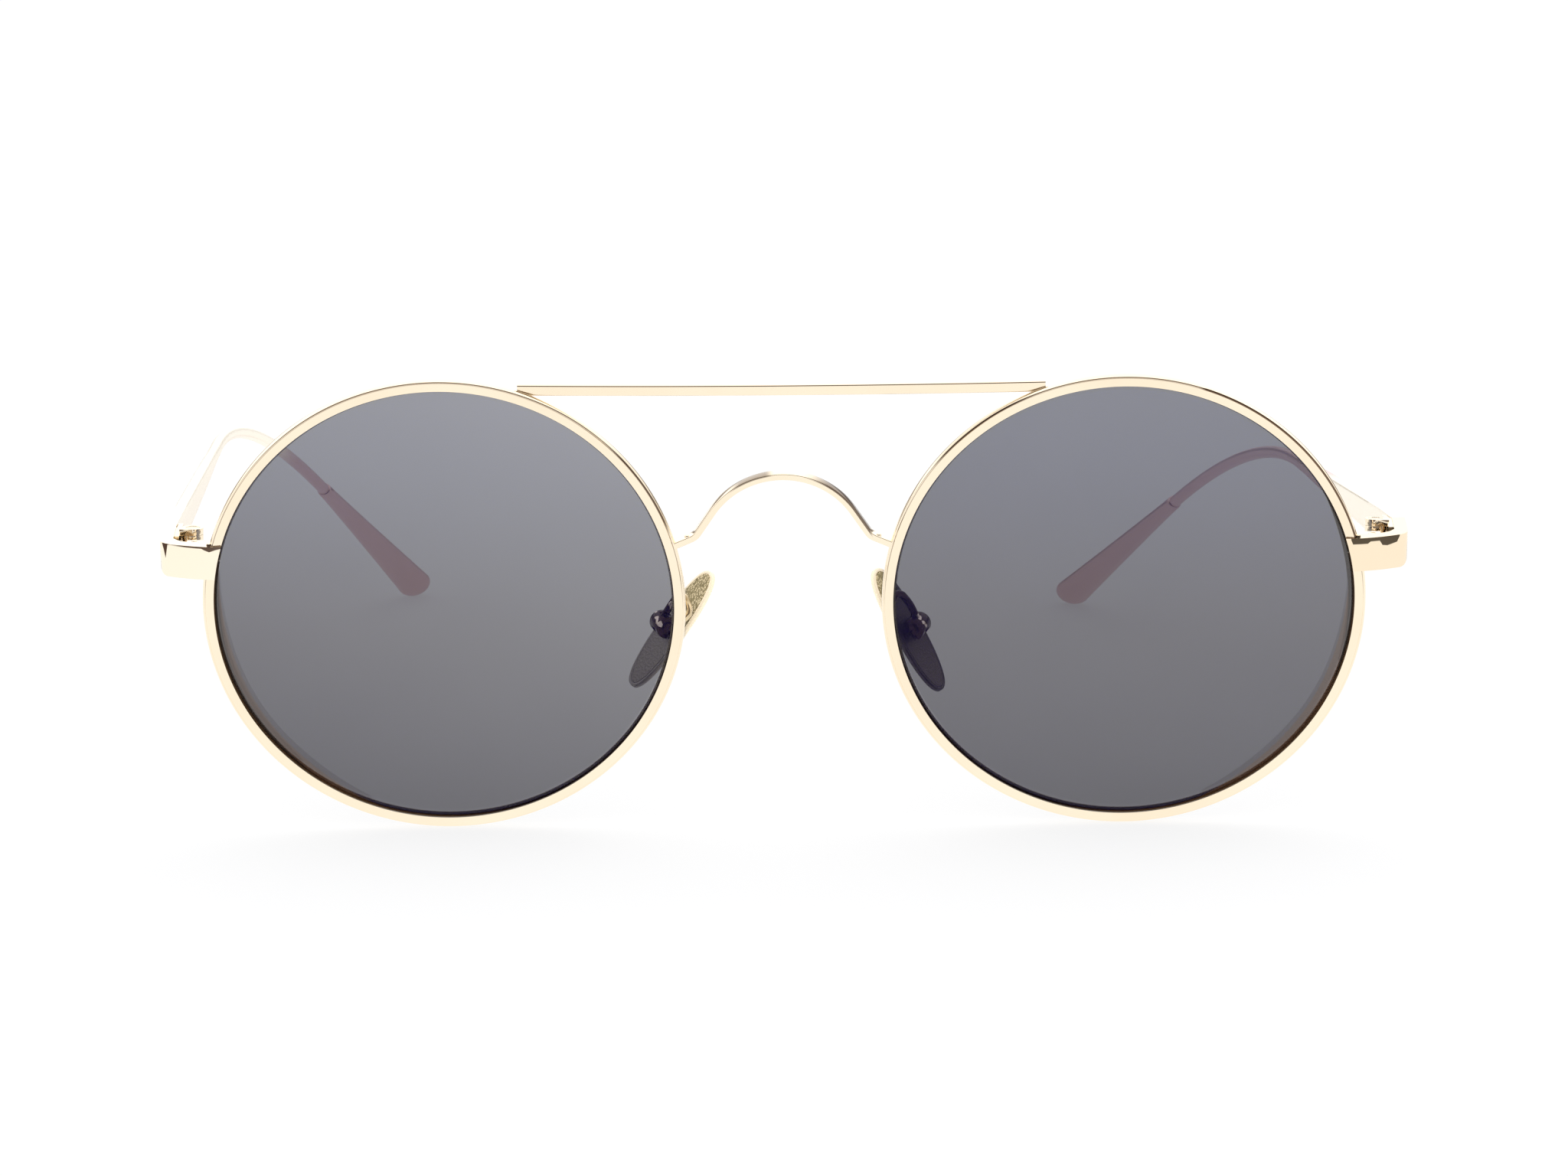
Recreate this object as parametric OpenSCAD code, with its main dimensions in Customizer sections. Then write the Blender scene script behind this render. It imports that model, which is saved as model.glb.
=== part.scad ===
// Round metal sunglasses with a straight brow bar, an arched nose bridge,
// flat tinted lenses, rocking nose pads and folding temples.
// The front stands on its rims and the two temple tips, leaning forward a little.
// X runs across the front, Y runs back along the temples, Z is up.

/* [Rims and lenses] */
// Inner radius of a rim's front face
rim_inner_r = 26.05; // [23:0.1:29]
// Width of a rim's front face, along the radius
rim_face_w = 1.0; // [0.9:0.05:1.4]
// How far the rim wire bulges past the edge of its front face
rim_bulge = 0.3; // [0.1:0.05:0.5]
// Depth of the rim wire from front to back
rim_depth = 1.25; // [1.15:0.05:1.6]
// How far the rear lip stands in past the front lip
rear_lip = 0.25; // [0.15:0.05:0.5]
// Gap between the rims at the nose
nose_gap = 22.2; // [20.5:0.1:23.5]
// Thickness of a lens
lens_t = 1.6; // [1.3:0.1:2.4]
// Width of the slit where a rim is split behind its endpiece
rim_slit = 0.16; // [0.1:0.02:0.3]

/* [Brow bar and bridge] */
// How far from a rim's centre line the brow bar ends
brow_inset = 8.95; // [8:0.05:10]
// How far the brow bar's top edge stands over the rim at its ends
brow_rise = 0.6; // [0.4:0.05:0.9]
// Height of the brow bar's face
brow_face = 1.25; // [0.9:0.05:1.5]
// Thickness of the brow bar from front to back
brow_t = 1.0; // [0.7:0.05:1.4]
// How far the middle of the brow bar dips below its ends
brow_dip = 0.22; // [0:0.02:0.5]
// Set-back of the brow bar behind the front faces of the rims
brow_back = 0.85; // [0.6:0.05:1.1]
// Radius of the bridge arch, to the middle of its strip
arch_r = 9.45; // [8.8:0.05:10]
// Height of the arch's centre over the rim centres
arch_h = 6.0; // [5:0.05:7]
// Width of the bridge strip, seen from the front
bridge_w = 0.78; // [0.6:0.02:1.1]
// Depth of the bridge strip from front to back
bridge_d = 1.35; // [1:0.05:1.8]
// Set-back of the bridge behind the front faces of the rims
bridge_back = 0.2; // [0:0.05:0.5]

/* [Stance] */
// Angle by which the front leans forward when the glasses stand open
lean_angle = 10.8; // [6:0.1:13]

/* [Endpieces] */
// How far an endpiece's outer face stands out past the rim
end_reach = 4.7; // [4.6:0.05:5.6]
// Height of an endpiece's middle over the rim centres
end_v = 5.7; // [4.5:0.05:7]
// Height of an endpiece
end_h = 4.0; // [3.7:0.05:4.6]
// How far an endpiece's plate lies over the front face of the rim
end_lap = 0.3; // [0.2:0.05:0.5]
// Thickness of an endpiece's front plate
end_plate_t = 1.2; // [1:0.05:1.5]
// How far the plate sweeps back before its corner
end_sweep = 1.2; // [0.3:0.05:1.5]
// Outer radius of the bend from the plate into the arm
end_bend_r = 1.5; // [1.2:0.1:2]
// Radius of the lower outer corner, seen from the front
end_corner_r = 0.9; // [0.3:0.1:1.5]

/* [Rim locks] */
// Depth of the two lock blocks behind each endpiece
lock_d = 2.0; // [1.9:0.05:2.2]
// Distance from an endpiece's outer face in to its lock blocks
lock_inset = 3.0; // [2.7:0.05:3.2]
// Radius of the lock screw
lock_screw_r = 0.45; // [0.35:0.05:0.55]
// Height of the lock screw's head
lock_head_h = 0.45; // [0.3:0.05:0.6]

/* [Hinges] */
// Distance from an endpiece's outer face in to the hinge's axis
hinge_inset = 3.35; // [3.2:0.05:3.5]
// Distance of a hinge's axis behind the front faces of the rims
hinge_t = 5.8; // [5.4:0.1:7]
// Radius of a hinge's knuckles
knuckle_r = 1.2; // [1:0.05:1.25]
// Height of the row of five knuckles
knuckle_h = 3.9; // [3.6:0.1:4.4]
// Gap between neighbouring knuckles
knuckle_gap = 0.03; // [0.02:0.01:0.06]
// Radius of a hinge screw
hinge_screw_r = 0.5; // [0.4:0.05:0.6]
// Radial clearance of the temple's knuckles on the screw
hinge_clear = 0.03; // [0.02:0.01:0.08]
// Length of each hinge leaf
leaf_l = 2.7; // [2.3:0.1:2.9]
// Gap between the end of an endpiece and the end of its temple
butt_gap = 0.06; // [0.04:0.01:0.1]
// Sideways cant of both hinge axes, which lets the folded temples cross
hinge_cant_angle = 1.2; // [1:0.1:1.8]

/* [Temples] */
// Thickness of a temple and of the endpiece's arm
temple_t = 1.5; // [1.3:0.05:1.8]
// Height of a temple at its hinge
temple_root_h = 3.9; // [3:0.1:4.2]
// Length of the flat plate at a temple's hinge
temple_flat = 7; // [6:0.5:9]
// Length of the straight part from the hinge to the ear bend
temple_straight = 53.5; // [50:0.5:60]
// Radius of the ear bend
ear_bend_r = 82; // [70:0.5:88]
// Angle of the ear bend on the left
left_ear_angle = 39.2; // [36:0.1:43]
// Angle of the ear bend on the right
right_ear_angle = 33.9; // [31:0.1:38]
// Angle by which the ear bends turn inward from straight down
ear_turn_angle = 27.3; // [23:0.1:32]
// Swing of the right temple from its open stop, as it stands
right_swing_angle = 7.9; // [0:0.1:20]
// Length of a temple tip
tip_l = 36; // [30:0.5:40]
// Width of a temple tip near its end
tip_w = 4.4; // [3.4:0.1:5.2]
// Thickness of a temple tip near its end
tip_t = 2.5; // [2.1:0.1:3.2]
// Length of the rounded end of a tip
tip_round = 2.6; // [1.8:0.1:3.4]
// Radius of a tip where its sleeve begins
tip_start_r = 0.9; // [0.9:0.02:1.2]
// Length of the temple's core inside its tip
core_l = 20; // [12:0.5:22]
// Radius of the core
core_r = 0.6; // [0.4:0.05:0.65]

/* [Nose pads] */
// How far the left pad's screw stands out from the edge of the nose gap
left_pad_out = 2.7; // [2.5:0.05:4.2]
// How far the right pad's screw stands out from the edge of the nose gap
right_pad_out = 4.0; // [2.5:0.05:4.2]
// Distance below the rim's centre at which a pad arm springs from the rim
arm_root_v = 4.0; // [3:0.1:5]
// Height of the left pad's screw over the rim centres
left_pad_v = -4.95; // [-6.3:0.1:-4.2]
// Height of the right pad's screw over the rim centres
right_pad_v = -5.4; // [-6.3:0.1:-4.2]
// Distance of a pad's screw behind the front faces of the rims
pad_back = 6.6; // [5.8:0.1:7.6]
// Length of a pad
pad_l = 16; // [13:0.2:17]
// Width of a pad
pad_w = 6.2; // [5.4:0.1:7.5]
// Thickness of a pad
pad_t = 0.8; // [0.75:0.05:1.2]
// Angle between a pad and the upright, seen from the front, in mid travel
pad_tilt_angle = 35; // [24:0.5:36]
// Angle by which the pads open toward the face
pad_splay_angle = 22; // [12:0.5:26]
// How far the left pad has rocked from mid travel
left_rock_angle = 4; // [-10:0.5:10]
// How far the right pad has rocked from mid travel
right_rock_angle = -4; // [-10:0.5:10]
// Border of the pad that shows around its core plate
pad_border = 0.45; // [0.3:0.05:0.8]
// Thickness of the core plate
pad_core_t = 0.4; // [0.3:0.05:0.5]
// Radius of a pad box
pad_box_r = 1.3; // [1.2:0.05:1.4]
// Length of a pad box along its screw
pad_box_l = 2.5; // [2.2:0.1:2.8]
// Radius of a pad screw
pad_screw_r = 0.36; // [0.3:0.02:0.42]
// Radial clearance of the core's lug on its screw
pad_clear = 0.03; // [0.02:0.01:0.06]
// Radius of the wire of a pad arm
arm_wire_r = 0.44; // [0.34:0.02:0.48]

/* [Solder] */
// Radius of the solder beads on the front
bead_r = 0.3; // [0.2:0.02:0.36]

/* [Hidden] */
gold = [0.93, 0.80, 0.62];
pale_gold = [0.88, 0.82, 0.62];
smoke = [0.30, 0.31, 0.34, 0.75];
clear_pad = [0.90, 0.86, 0.72];
eps = 0.01;
fine = 128;

// Rim section in radius and depth, from the front lip round the outside
face_r = rim_inner_r + rim_face_w;
wire_r = face_r + rim_bulge;
lip_t = 0.28;
rear_r = rim_inner_r - rear_lip;
groove_r = rim_inner_r + 0.6 * rim_face_w;
groove_t = rim_depth / 2;
rim_outer = [
    [face_r - 0.12, 0],
    [face_r, 0.1],
    [face_r + 0.67 * rim_bulge, 0.24 * rim_depth],
    [wire_r, 0.48 * rim_depth],
    [face_r + 0.67 * rim_bulge, 0.72 * rim_depth],
    [face_r, rim_depth - 0.1],
    [face_r - 0.12, rim_depth]
];
rim_groove = [
    [rear_r, rim_depth],
    [rear_r, rim_depth - lip_t],
    [groove_r, groove_t + 0.06],
    [groove_r, groove_t - 0.06],
    [rim_inner_r, lip_t]
];
lens_r = rear_r - 0.05;
lens_front = 0.18;
bevel_r = groove_r - 0.08;

rim_offset = nose_gap / 2 + wire_r;
side_x = rim_offset + wire_r + end_reach;
hinge_x = side_x - hinge_inset;
lock_x = side_x - lock_inset;

// The front stands on the lowest line of its leaning rims
stand_r = max([for (p = rim_outer) p[0] - p[1] * tan(lean_angle)]);

// Endpiece plan: the plate starts at the rim's inner edge and bends into the arm
end_lo = end_v - end_h / 2;
end_hi = end_v + end_h / 2;
plate_x0 = rim_offset + sqrt(pow(rim_inner_r, 2) - pow(end_hi, 2)) - 0.25;
bend_x = side_x - end_bend_r;
plate_x1 = bend_x + end_bend_r * cos(75);
plate_back = end_plate_t - end_lap;
bend_t = end_sweep - end_lap + end_bend_r * sin(75);
arm_in = side_x - temple_t;
function plate_front(x) = -end_lap + end_sweep * pow((x - plate_x0) / (plate_x1 - plate_x0), 2);

// Hinge leaves and knuckles, measured from the hinge's axis
leaf_out = arm_in - hinge_x;
leaf_in = knuckle_r + 0.08;
knuckle_pitch = knuckle_h / 5;
screw_head_r = hinge_screw_r + 0.3;
screw_head_h = 0.28;
bar_x = leaf_out + temple_t / 2;

// Turning a point about X, Y or Z
function rx(v, a) = [v[0], v[1] * cos(a) - v[2] * sin(a), v[1] * sin(a) + v[2] * cos(a)];
function ry(v, a) = [v[0] * cos(a) + v[2] * sin(a), v[1], v[2] * cos(a) - v[0] * sin(a)];
function rz(v, a) = [v[0] * cos(a) - v[1] * sin(a), v[0] * sin(a) + v[1] * cos(a), v[2]];

// Values that differ from left (-1) to right (1)
function ear_bend(side) = side < 0 ? left_ear_angle : right_ear_angle;
function swing(side) = side < 0 ? 0 : right_swing_angle;
function pad_x(side) = nose_gap / 2 + (side < 0 ? left_pad_out : right_pad_out);
function pad_v(side) = side < 0 ? left_pad_v : right_pad_v;
function pad_rock(side) = side < 0 ? left_rock_angle : right_rock_angle;
function cant(side) = side * hinge_cant_angle;

// A direction of the tip, in the frame of its hinge, with the temple as it stands
function tip_dir(side, v) = ry(rz(v, ear_bend(side)), ear_turn_angle - 90);
function swung(side, v) = ry(rz(ry(v, -cant(side)), swing(side)), cant(side));
function tip_end(side) = [bar_x, temple_straight, 0]
    + ry([-ear_bend_r, 0, 0], ear_turn_angle - 90)
    + tip_dir(side, [ear_bend_r, tip_l - tip_round, 0]);
tip_axes = [[tip_t / 2, 0, 0], [0, tip_round, 0], [0, 0, tip_w / 2]];
hinge_at = rx([hinge_x, hinge_t, stand_r + end_v], lean_angle);
// Reach of the rounded tip along axis k of the room, past the tip's end centre
function reach(side, drop, k) = norm([for (a = tip_axes) rx(swung(side, tip_dir(side, a)), -drop)[k]]);
function tip_at(side, drop) = hinge_at + rx(swung(side, tip_end(side)), -drop);
function tip_low(side, drop) = tip_at(side, drop)[2] - reach(side, drop, 2);
// Drop of a temple at which its tip just rests on the surface
function rest_drop(side, lo, hi, n) = n == 0 ? (lo + hi) / 2
    : tip_low(side, (lo + hi) / 2) > 0 ? rest_drop(side, (lo + hi) / 2, hi, n - 1)
    : rest_drop(side, lo, (lo + hi) / 2, n - 1);
left_drop = rest_drop(-1, -12, 25, 40);
right_drop = rest_drop(1, -12, 25, 40);
function drop(side) = side < 0 ? left_drop : right_drop;

// The origin is under the middle of the glasses as they stand
front_y = min([for (p = rim_outer) p[1] * cos(lean_angle) - (stand_r + p[0]) * sin(lean_angle)]);
back_y = max([for (s = [-1, 1]) tip_at(s, drop(s))[1] + reach(s, drop(s), 1)]);
mid_y = (front_y + back_y) / 2;

// Bridge path: an arch, straight legs and short feet
leg_angle = 57;
foot_x = nose_gap / 2 - 1.2;
leg_l = (foot_x - arch_r * sin(leg_angle)) / cos(leg_angle);
foot_v = arch_h + arch_r * cos(leg_angle) - leg_l * sin(leg_angle);
foot_end = [nose_gap / 2 + 1.5, foot_v - 1.1];

// Pad parts, measured from the screw's axis toward the nose
core_at = 0.95;
box_flat = 0.6;
slot_w = 1.0;
lug_w = slot_w - 0.08;
lug_r = 0.92;
pad_head_r = pad_screw_r + 0.3;
pad_head_h = 0.3;
arm_root_x = rim_offset - sqrt(pow(rim_inner_r + rim_face_w / 2, 2) - pow(arm_root_v, 2));
// Route of a pad arm, from the rim over its loop to the pad box, in the front's frame
function arm_route(side) = let (x = pad_x(side)) [
    [arm_root_x, rim_depth - 0.3, -arm_root_v],
    [arm_root_x + 0.2, 2.1, 0.7 - arm_root_v],
    [x - 2.9, 2.9, -2.2],
    [x - 2.75, 3.6, -1.1],
    [x - 2.35, 4.3, -0.6],
    [x - 1.8, 5.0, -0.8],
    [x - 1.25, 5.6, -1.6],
    [x - 0.65, 6.1, -2.7],
    [x, pad_back - 0.2, pad_v(side) + pad_box_r - 0.25]
];

// Frames

module sided(side) {
    if (side > 0) children();
    else mirror([1, 0, 0]) children();
}

// The leaning front: X across, Y into the depth, Z up the rims from their centres
module front_frame() {
    translate([0, -mid_y, 0])
        rotate([lean_angle, 0, 0])
            translate([0, 0, stand_r])
                children();
}

// The hinge of one side: Z along the knuckles before their cant, Y along the temple
module hinge_frame(side) {
    translate([hinge_x, hinge_t, end_v])
        rotate([-lean_angle - drop(side), 0, 0])
            children();
}

module canted(side) {
    rotate([0, cant(side), 0]) children();
}

// The temple's frame, turned in about the hinge's own axis
module temple_frame(side) {
    front_frame() sided(side) hinge_frame(side)
        canted(side)
            rotate([0, 0, swing(side)])
                rotate([0, -cant(side), 0])
                    children();
}

// The straight tail past the ear bend, Y along it
module tail_frame(side) {
    translate([bar_x, temple_straight, 0])
        rotate([0, ear_turn_angle - 90, 0])
            translate([-ear_bend_r, 0, 0])
                rotate([0, 0, ear_bend(side)])
                    translate([ear_bend_r, 0, 0])
                        children();
}

// A pad's screw: Y along the screw, -X toward the nose, Z up the pad
module pad_frame(side, rock) {
    front_frame() sided(side)
        translate([pad_x(side), pad_back, pad_v(side)])
            rotate([0, 0, -pad_splay_angle])
                rotate([0, -pad_tilt_angle - rock, 0])
                    children();
}

// Shapes that repeat

// A flat shape drawn in the front's plane, from depth t0 over h
module slab(t0, h) {
    translate([0, t0 + h, 0]) rotate([90, 0, 0]) linear_extrude(h) children();
}

// A section in radius and depth, turned about a rim's centre
module turned(section) {
    rotate([-90, 0, 0]) rotate_extrude($fn = fine) polygon(section);
}

// A skin over rings of points, closed at both ends
module loft(rings) {
    n = len(rings[0]);
    m = len(rings);
    polyhedron(
        points = [for (r = rings) for (p = r) p],
        faces = concat(
            [[for (j = [0:n - 1]) j]],
            [[for (j = [n - 1:-1:0]) (m - 1) * n + j]],
            [for (i = [0:m - 2]) for (j = [0:n - 1]) [i * n + j, (i + 1) * n + j, (i + 1) * n + (j + 1) % n]],
            [for (i = [0:m - 2]) for (j = [0:n - 1]) [i * n + j, (i + 1) * n + (j + 1) % n, i * n + (j + 1) % n]]
        )
    );
}

function unit(v) = v / norm(v);
function toward(p, i) = unit(p[min(i + 1, len(p) - 1)] - p[max(i - 1, 0)]);

// A round wire along points
module wire(p, r, sides) {
    loft([for (i = [0:len(p) - 1])
        let (d = toward(p, i), a = unit(cross([1, 0, 0], d)), b = cross(d, a))
            [for (j = [0:sides - 1]) p[i] + r * (cos(j * 360 / sides) * b + sin(j * 360 / sides) * a)]]);
}

// Points between given ones, on a smooth curve through them
function curve(p, n) = [for (i = [0:len(p) - 2]) for (k = [0:n - 1])
    let (s = k / n, a = p[max(i - 1, 0)], b = p[i], c = p[i + 1], d = p[min(i + 2, len(p) - 1)])
        0.5 * (2 * b + s * (c - a) + s * s * (2 * a - 5 * b + 4 * c - d) + s * s * s * (3 * b - a - 3 * c + d)),
    p[len(p) - 1]];

// A strip of even width along a flat path
module strip(p, w) {
    side = [for (i = [0:len(p) - 1]) let (d = toward(p, i)) [-d[1], d[0]] * w / 2];
    polygon(concat([for (i = [0:len(p) - 1]) p[i] + side[i]], [for (i = [len(p) - 1:-1:0]) p[i] - side[i]]));
}

// A rounded oval, for the pads and their plates
function bend_pow(c) = sign(c) * pow(abs(c), 0.86);
function oval(w, l, n) = [for (j = [0:n - 1]) [w / 2 * bend_pow(cos(j * 360 / n)), l / 2 * bend_pow(sin(j * 360 / n))]];

// A bead of solder in the front's plane
module bead(x, t, v) {
    translate([x, t, v]) sphere(r = bead_r, $fn = 32);
}

// Rims and lenses

module rim_blank() {
    translate([rim_offset, 0, 0]) turned(concat(rim_outer, [[rear_r, rim_depth], [rear_r, lip_t], [rim_inner_r, 0]]));
}

module rim(side) {
    color(gold) front_frame() sided(side) difference() {
        translate([rim_offset, 0, 0]) turned(concat(rim_outer, rim_groove, [[rim_inner_r, 0]]));
        translate([rim_offset + rear_r - 1, -1, end_v - rim_slit / 2])
            cube([wire_r - rear_r + 2, rim_depth + 2, rim_slit]);
    }
}

module lens(side) {
    color(smoke) front_frame() sided(side) translate([rim_offset, 0, 0])
        turned([
            [0, lens_front],
            [lens_r - 0.1, lens_front],
            [lens_r, lens_front + 0.1],
            [lens_r, groove_t - 0.2],
            [bevel_r, groove_t - 0.03],
            [bevel_r, groove_t + 0.03],
            [lens_r, groove_t + 0.2],
            [lens_r, lens_front + lens_t - 0.1],
            [lens_r - 0.1, lens_front + lens_t],
            [0, lens_front + lens_t]
        ]);
}

// Brow bar and bridge

brow_half = rim_offset - brow_inset;
brow_top = sqrt(pow(wire_r, 2) - pow(brow_inset, 2)) + brow_rise;
function brow_line(x) = brow_top - brow_dip * (1 - pow(x / brow_half, 2));

module brow_shape() {
    slab(brow_back, brow_t) polygon(concat(
        [for (i = [0:16]) let (x = brow_half * (i / 8 - 1)) [x, brow_line(x)]],
        [for (i = [16:-1:0]) let (x = brow_half * (i / 8 - 1)) [x, brow_line(x) - brow_face]]
    ));
}

module brow_bar() {
    color(gold) front_frame() difference() {
        union() {
            brow_shape();
            for (s = [-1, 1]) sided(s)
                bead(brow_half - 0.05, brow_back + 0.05, brow_top - brow_face / 2);
        }
        for (s = [-1, 1]) sided(s) translate([rim_offset, 0, 0]) rotate([-90, 0, 0])
            translate([0, 0, rim_depth]) cylinder(r = face_r, h = brow_t + 2, $fn = fine);
        for (s = [-1, 1]) sided(s) rim_blank();
    }
}

bridge_half = concat(
    [for (i = [0:8]) let (a = leg_angle * i / 8) [arch_r * sin(a), arch_h + arch_r * cos(a)]],
    [[foot_x - 0.25, foot_v + 0.42], [foot_x + 0.15, foot_v + 0.05], [foot_x + 0.65, foot_v - 0.2], foot_end]
);

module bridge_shape() {
    slab(bridge_back, bridge_d) strip(concat(
        [for (i = [len(bridge_half) - 1:-1:1]) [-bridge_half[i][0], bridge_half[i][1]]],
        bridge_half
    ), bridge_w);
}

module nose_bridge() {
    color(gold) front_frame() difference() {
        union() {
            bridge_shape();
            for (s = [-1, 1]) sided(s)
                bead(foot_x + 0.9, bridge_back + 0.35, foot_v + 0.1);
        }
        for (s = [-1, 1]) sided(s) translate([rim_offset, 0, 0]) rotate([-90, 0, 0])
            translate([0, 0, rim_depth]) cylinder(r = face_r, h = bridge_d + 2, $fn = fine);
        for (s = [-1, 1]) sided(s) rim_blank();
    }
}

// Endpieces and rim locks

module end_plan() {
    polygon(concat(
        [for (i = [0:6]) let (x = plate_x0 + (plate_x1 - plate_x0) * i / 6) [x, plate_front(x)]],
        [for (a = [-60:15:0]) [bend_x + end_bend_r * cos(a), bend_t + end_bend_r * sin(a)]],
        [[side_x, hinge_t + 3], [arm_in, hinge_t + 3], [arm_in, plate_front(arm_in) + end_plate_t + 0.6],
            [arm_in - 0.5, plate_front(arm_in) + end_plate_t + 0.05]],
        [for (i = [5:-1:0]) let (x = plate_x0 + (arm_in - 1 - plate_x0) * i / 5) [x, plate_front(x) + end_plate_t]]
    ));
}

module end_outline() {
    polygon(concat(
        [[plate_x0 - 1, end_lo], [plate_x0 - 1, end_hi], [side_x + 1, end_hi], [side_x + 1, end_lo + end_corner_r],
            [side_x, end_lo + end_corner_r]],
        [for (a = [-15:-15:-90]) [side_x - end_corner_r + end_corner_r * cos(a), end_lo + end_corner_r + end_corner_r * sin(a)]]
    ));
}

module end_shape(side) {
    difference() {
        intersection() {
            translate([0, 0, end_lo]) linear_extrude(end_h) end_plan();
            slab(-2, hinge_t + 6) end_outline();
        }
        translate([rim_offset, -1, 0]) rotate([-90, 0, 0]) cylinder(r = rim_inner_r, h = 5, $fn = fine);
        rim_blank();
        hinge_frame(side) translate([-4, -butt_gap / 2, -8]) cube([12, 12, 16]);
    }
}

module endpiece(side) {
    color(gold) front_frame() sided(side) union() {
        end_shape(side);
        difference() {
            bead(rim_offset + sqrt(pow(wire_r, 2) - pow(end_hi, 2)) + 0.05, 0.3, end_hi);
            rim_blank();
        }
    }
}

lock_t = plate_back + lock_d;
lock_screw_x = lock_x - 0.95;
lock_screw_t = lock_t - 0.8;
lock_lo = end_lo + lock_head_h + 0.1;
lock_hi = end_hi - 0.35;

module lock_block(side, lo, hi) {
    difference() {
        translate([rim_offset + rim_inner_r - 1.2, plate_back, lo])
            cube([lock_x - rim_offset - rim_inner_r + 1.2, lock_d, hi - lo]);
        translate([rim_offset, -1, 0]) rotate([-90, 0, 0]) cylinder(r = face_r - 0.12, h = 8, $fn = fine);
        rim_blank();
        end_shape(side);
        translate([lock_screw_x, lock_screw_t, lo - 1]) cylinder(r = lock_screw_r + eps, h = hi - lo + 2, $fn = 48);
    }
}

module lock_upper(side) {
    color(gold) front_frame() sided(side) lock_block(side, end_v + rim_slit / 2, lock_hi);
}

module lock_lower(side) {
    color(gold) front_frame() sided(side) lock_block(side, lock_lo, end_v - rim_slit / 2);
}

module lock_screw(side) {
    color(gold) front_frame() sided(side) translate([lock_screw_x, lock_screw_t, 0]) difference() {
        union() {
            translate([0, 0, lock_lo - lock_head_h]) cylinder(r = lock_screw_r + 0.25, h = lock_head_h, $fn = 48);
            translate([0, 0, lock_lo - eps]) cylinder(r = lock_screw_r, h = lock_hi - lock_lo, $fn = 48);
        }
        translate([-2, -0.1, lock_lo - lock_head_h - 1]) cube([4, 0.2, 1.2]);
    }
}

// Hinges

// Knuckles of one leaf: the front takes 0, 2 and 4, the temple 1 and 3
module knuckles(side, which, way, bore) {
    canted(side) difference() {
        for (k = which) translate([0, 0, k * knuckle_pitch - knuckle_h / 2 + knuckle_gap / 2]) {
            cylinder(r = knuckle_r, h = knuckle_pitch - knuckle_gap, $fn = 64);
            translate([0, way > 0 ? butt_gap / 2 : -knuckle_r, 0])
                cube([leaf_in + 0.15, knuckle_r - butt_gap / 2, knuckle_pitch - knuckle_gap]);
        }
        cylinder(r = bore, h = knuckle_h + 2, center = true, $fn = 64);
        translate([0, 0, knuckle_h / 2 - knuckle_gap / 2 - screw_head_h]) cylinder(r = screw_head_r + eps, h = 2, $fn = 64);
    }
}

module front_hinge(side) {
    color(gold) front_frame() sided(side) union() {
        hinge_frame(side) knuckles(side, [0, 2, 4], -1, hinge_screw_r + eps);
        intersection() {
            translate([hinge_x, 0, end_lo + 0.1]) cube([arm_in - hinge_x, hinge_t + 3, end_h - 0.2]);
            hinge_frame(side) translate([leaf_in, -leaf_l, -end_h])
                cube([leaf_out - leaf_in, leaf_l - butt_gap / 2, 2 * end_h]);
        }
    }
}

module temple_hinge(side) {
    color(gold) temple_frame(side) union() {
        knuckles(side, [1, 3], 1, hinge_screw_r + hinge_clear);
        translate([leaf_in, butt_gap / 2, -temple_root_h / 2 + 0.15])
            cube([leaf_out - leaf_in, leaf_l, temple_root_h - 0.3]);
    }
}

module hinge_screw(side) {
    color(gold) front_frame() sided(side) hinge_frame(side) canted(side) difference() {
        union() {
            translate([0, 0, -knuckle_h / 2 + 0.05]) cylinder(r = hinge_screw_r, h = knuckle_h - 0.1, $fn = 64);
            translate([0, 0, knuckle_h / 2 - knuckle_gap / 2 - screw_head_h + eps])
                cylinder(r = screw_head_r, h = screw_head_h - 0.02, $fn = 64);
        }
        translate([-2, -0.1, knuckle_h / 2 - 0.15]) cube([4, 0.2, 1]);
    }
}

// Temples

module temple_bar(side) {
    color(gold) temple_frame(side) union() {
        translate([leaf_out, butt_gap / 2, -temple_root_h / 2]) cube([temple_t, temple_flat, temple_root_h]);
        hull() {
            translate([leaf_out, temple_flat, -temple_root_h / 2]) cube([temple_t, eps, temple_root_h]);
            translate([bar_x, temple_straight, 0]) rotate([90, 0, 0]) cylinder(r = temple_t / 2, h = eps, $fn = 32);
        }
        translate([bar_x, temple_straight, 0]) rotate([0, ear_turn_angle - 90, 0]) translate([-ear_bend_r, 0, 0])
            rotate_extrude(angle = ear_bend(side), $fn = 180) translate([ear_bend_r, 0]) circle(r = temple_t / 2, $fn = 32);
        tail_frame(side) translate([0, -eps, 0]) rotate([-90, 0, 0]) cylinder(r = core_r, h = core_l, $fn = 32);
    }
}

// Half width or half thickness of a tip along its length
function tip_grow(a, b, s) = a + (b - a) * pow(s, 1.15);
function tip_ring(y, a, b) = [for (j = [0:23]) [a * cos(j * 15), y, b * sin(j * 15)]];

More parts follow.
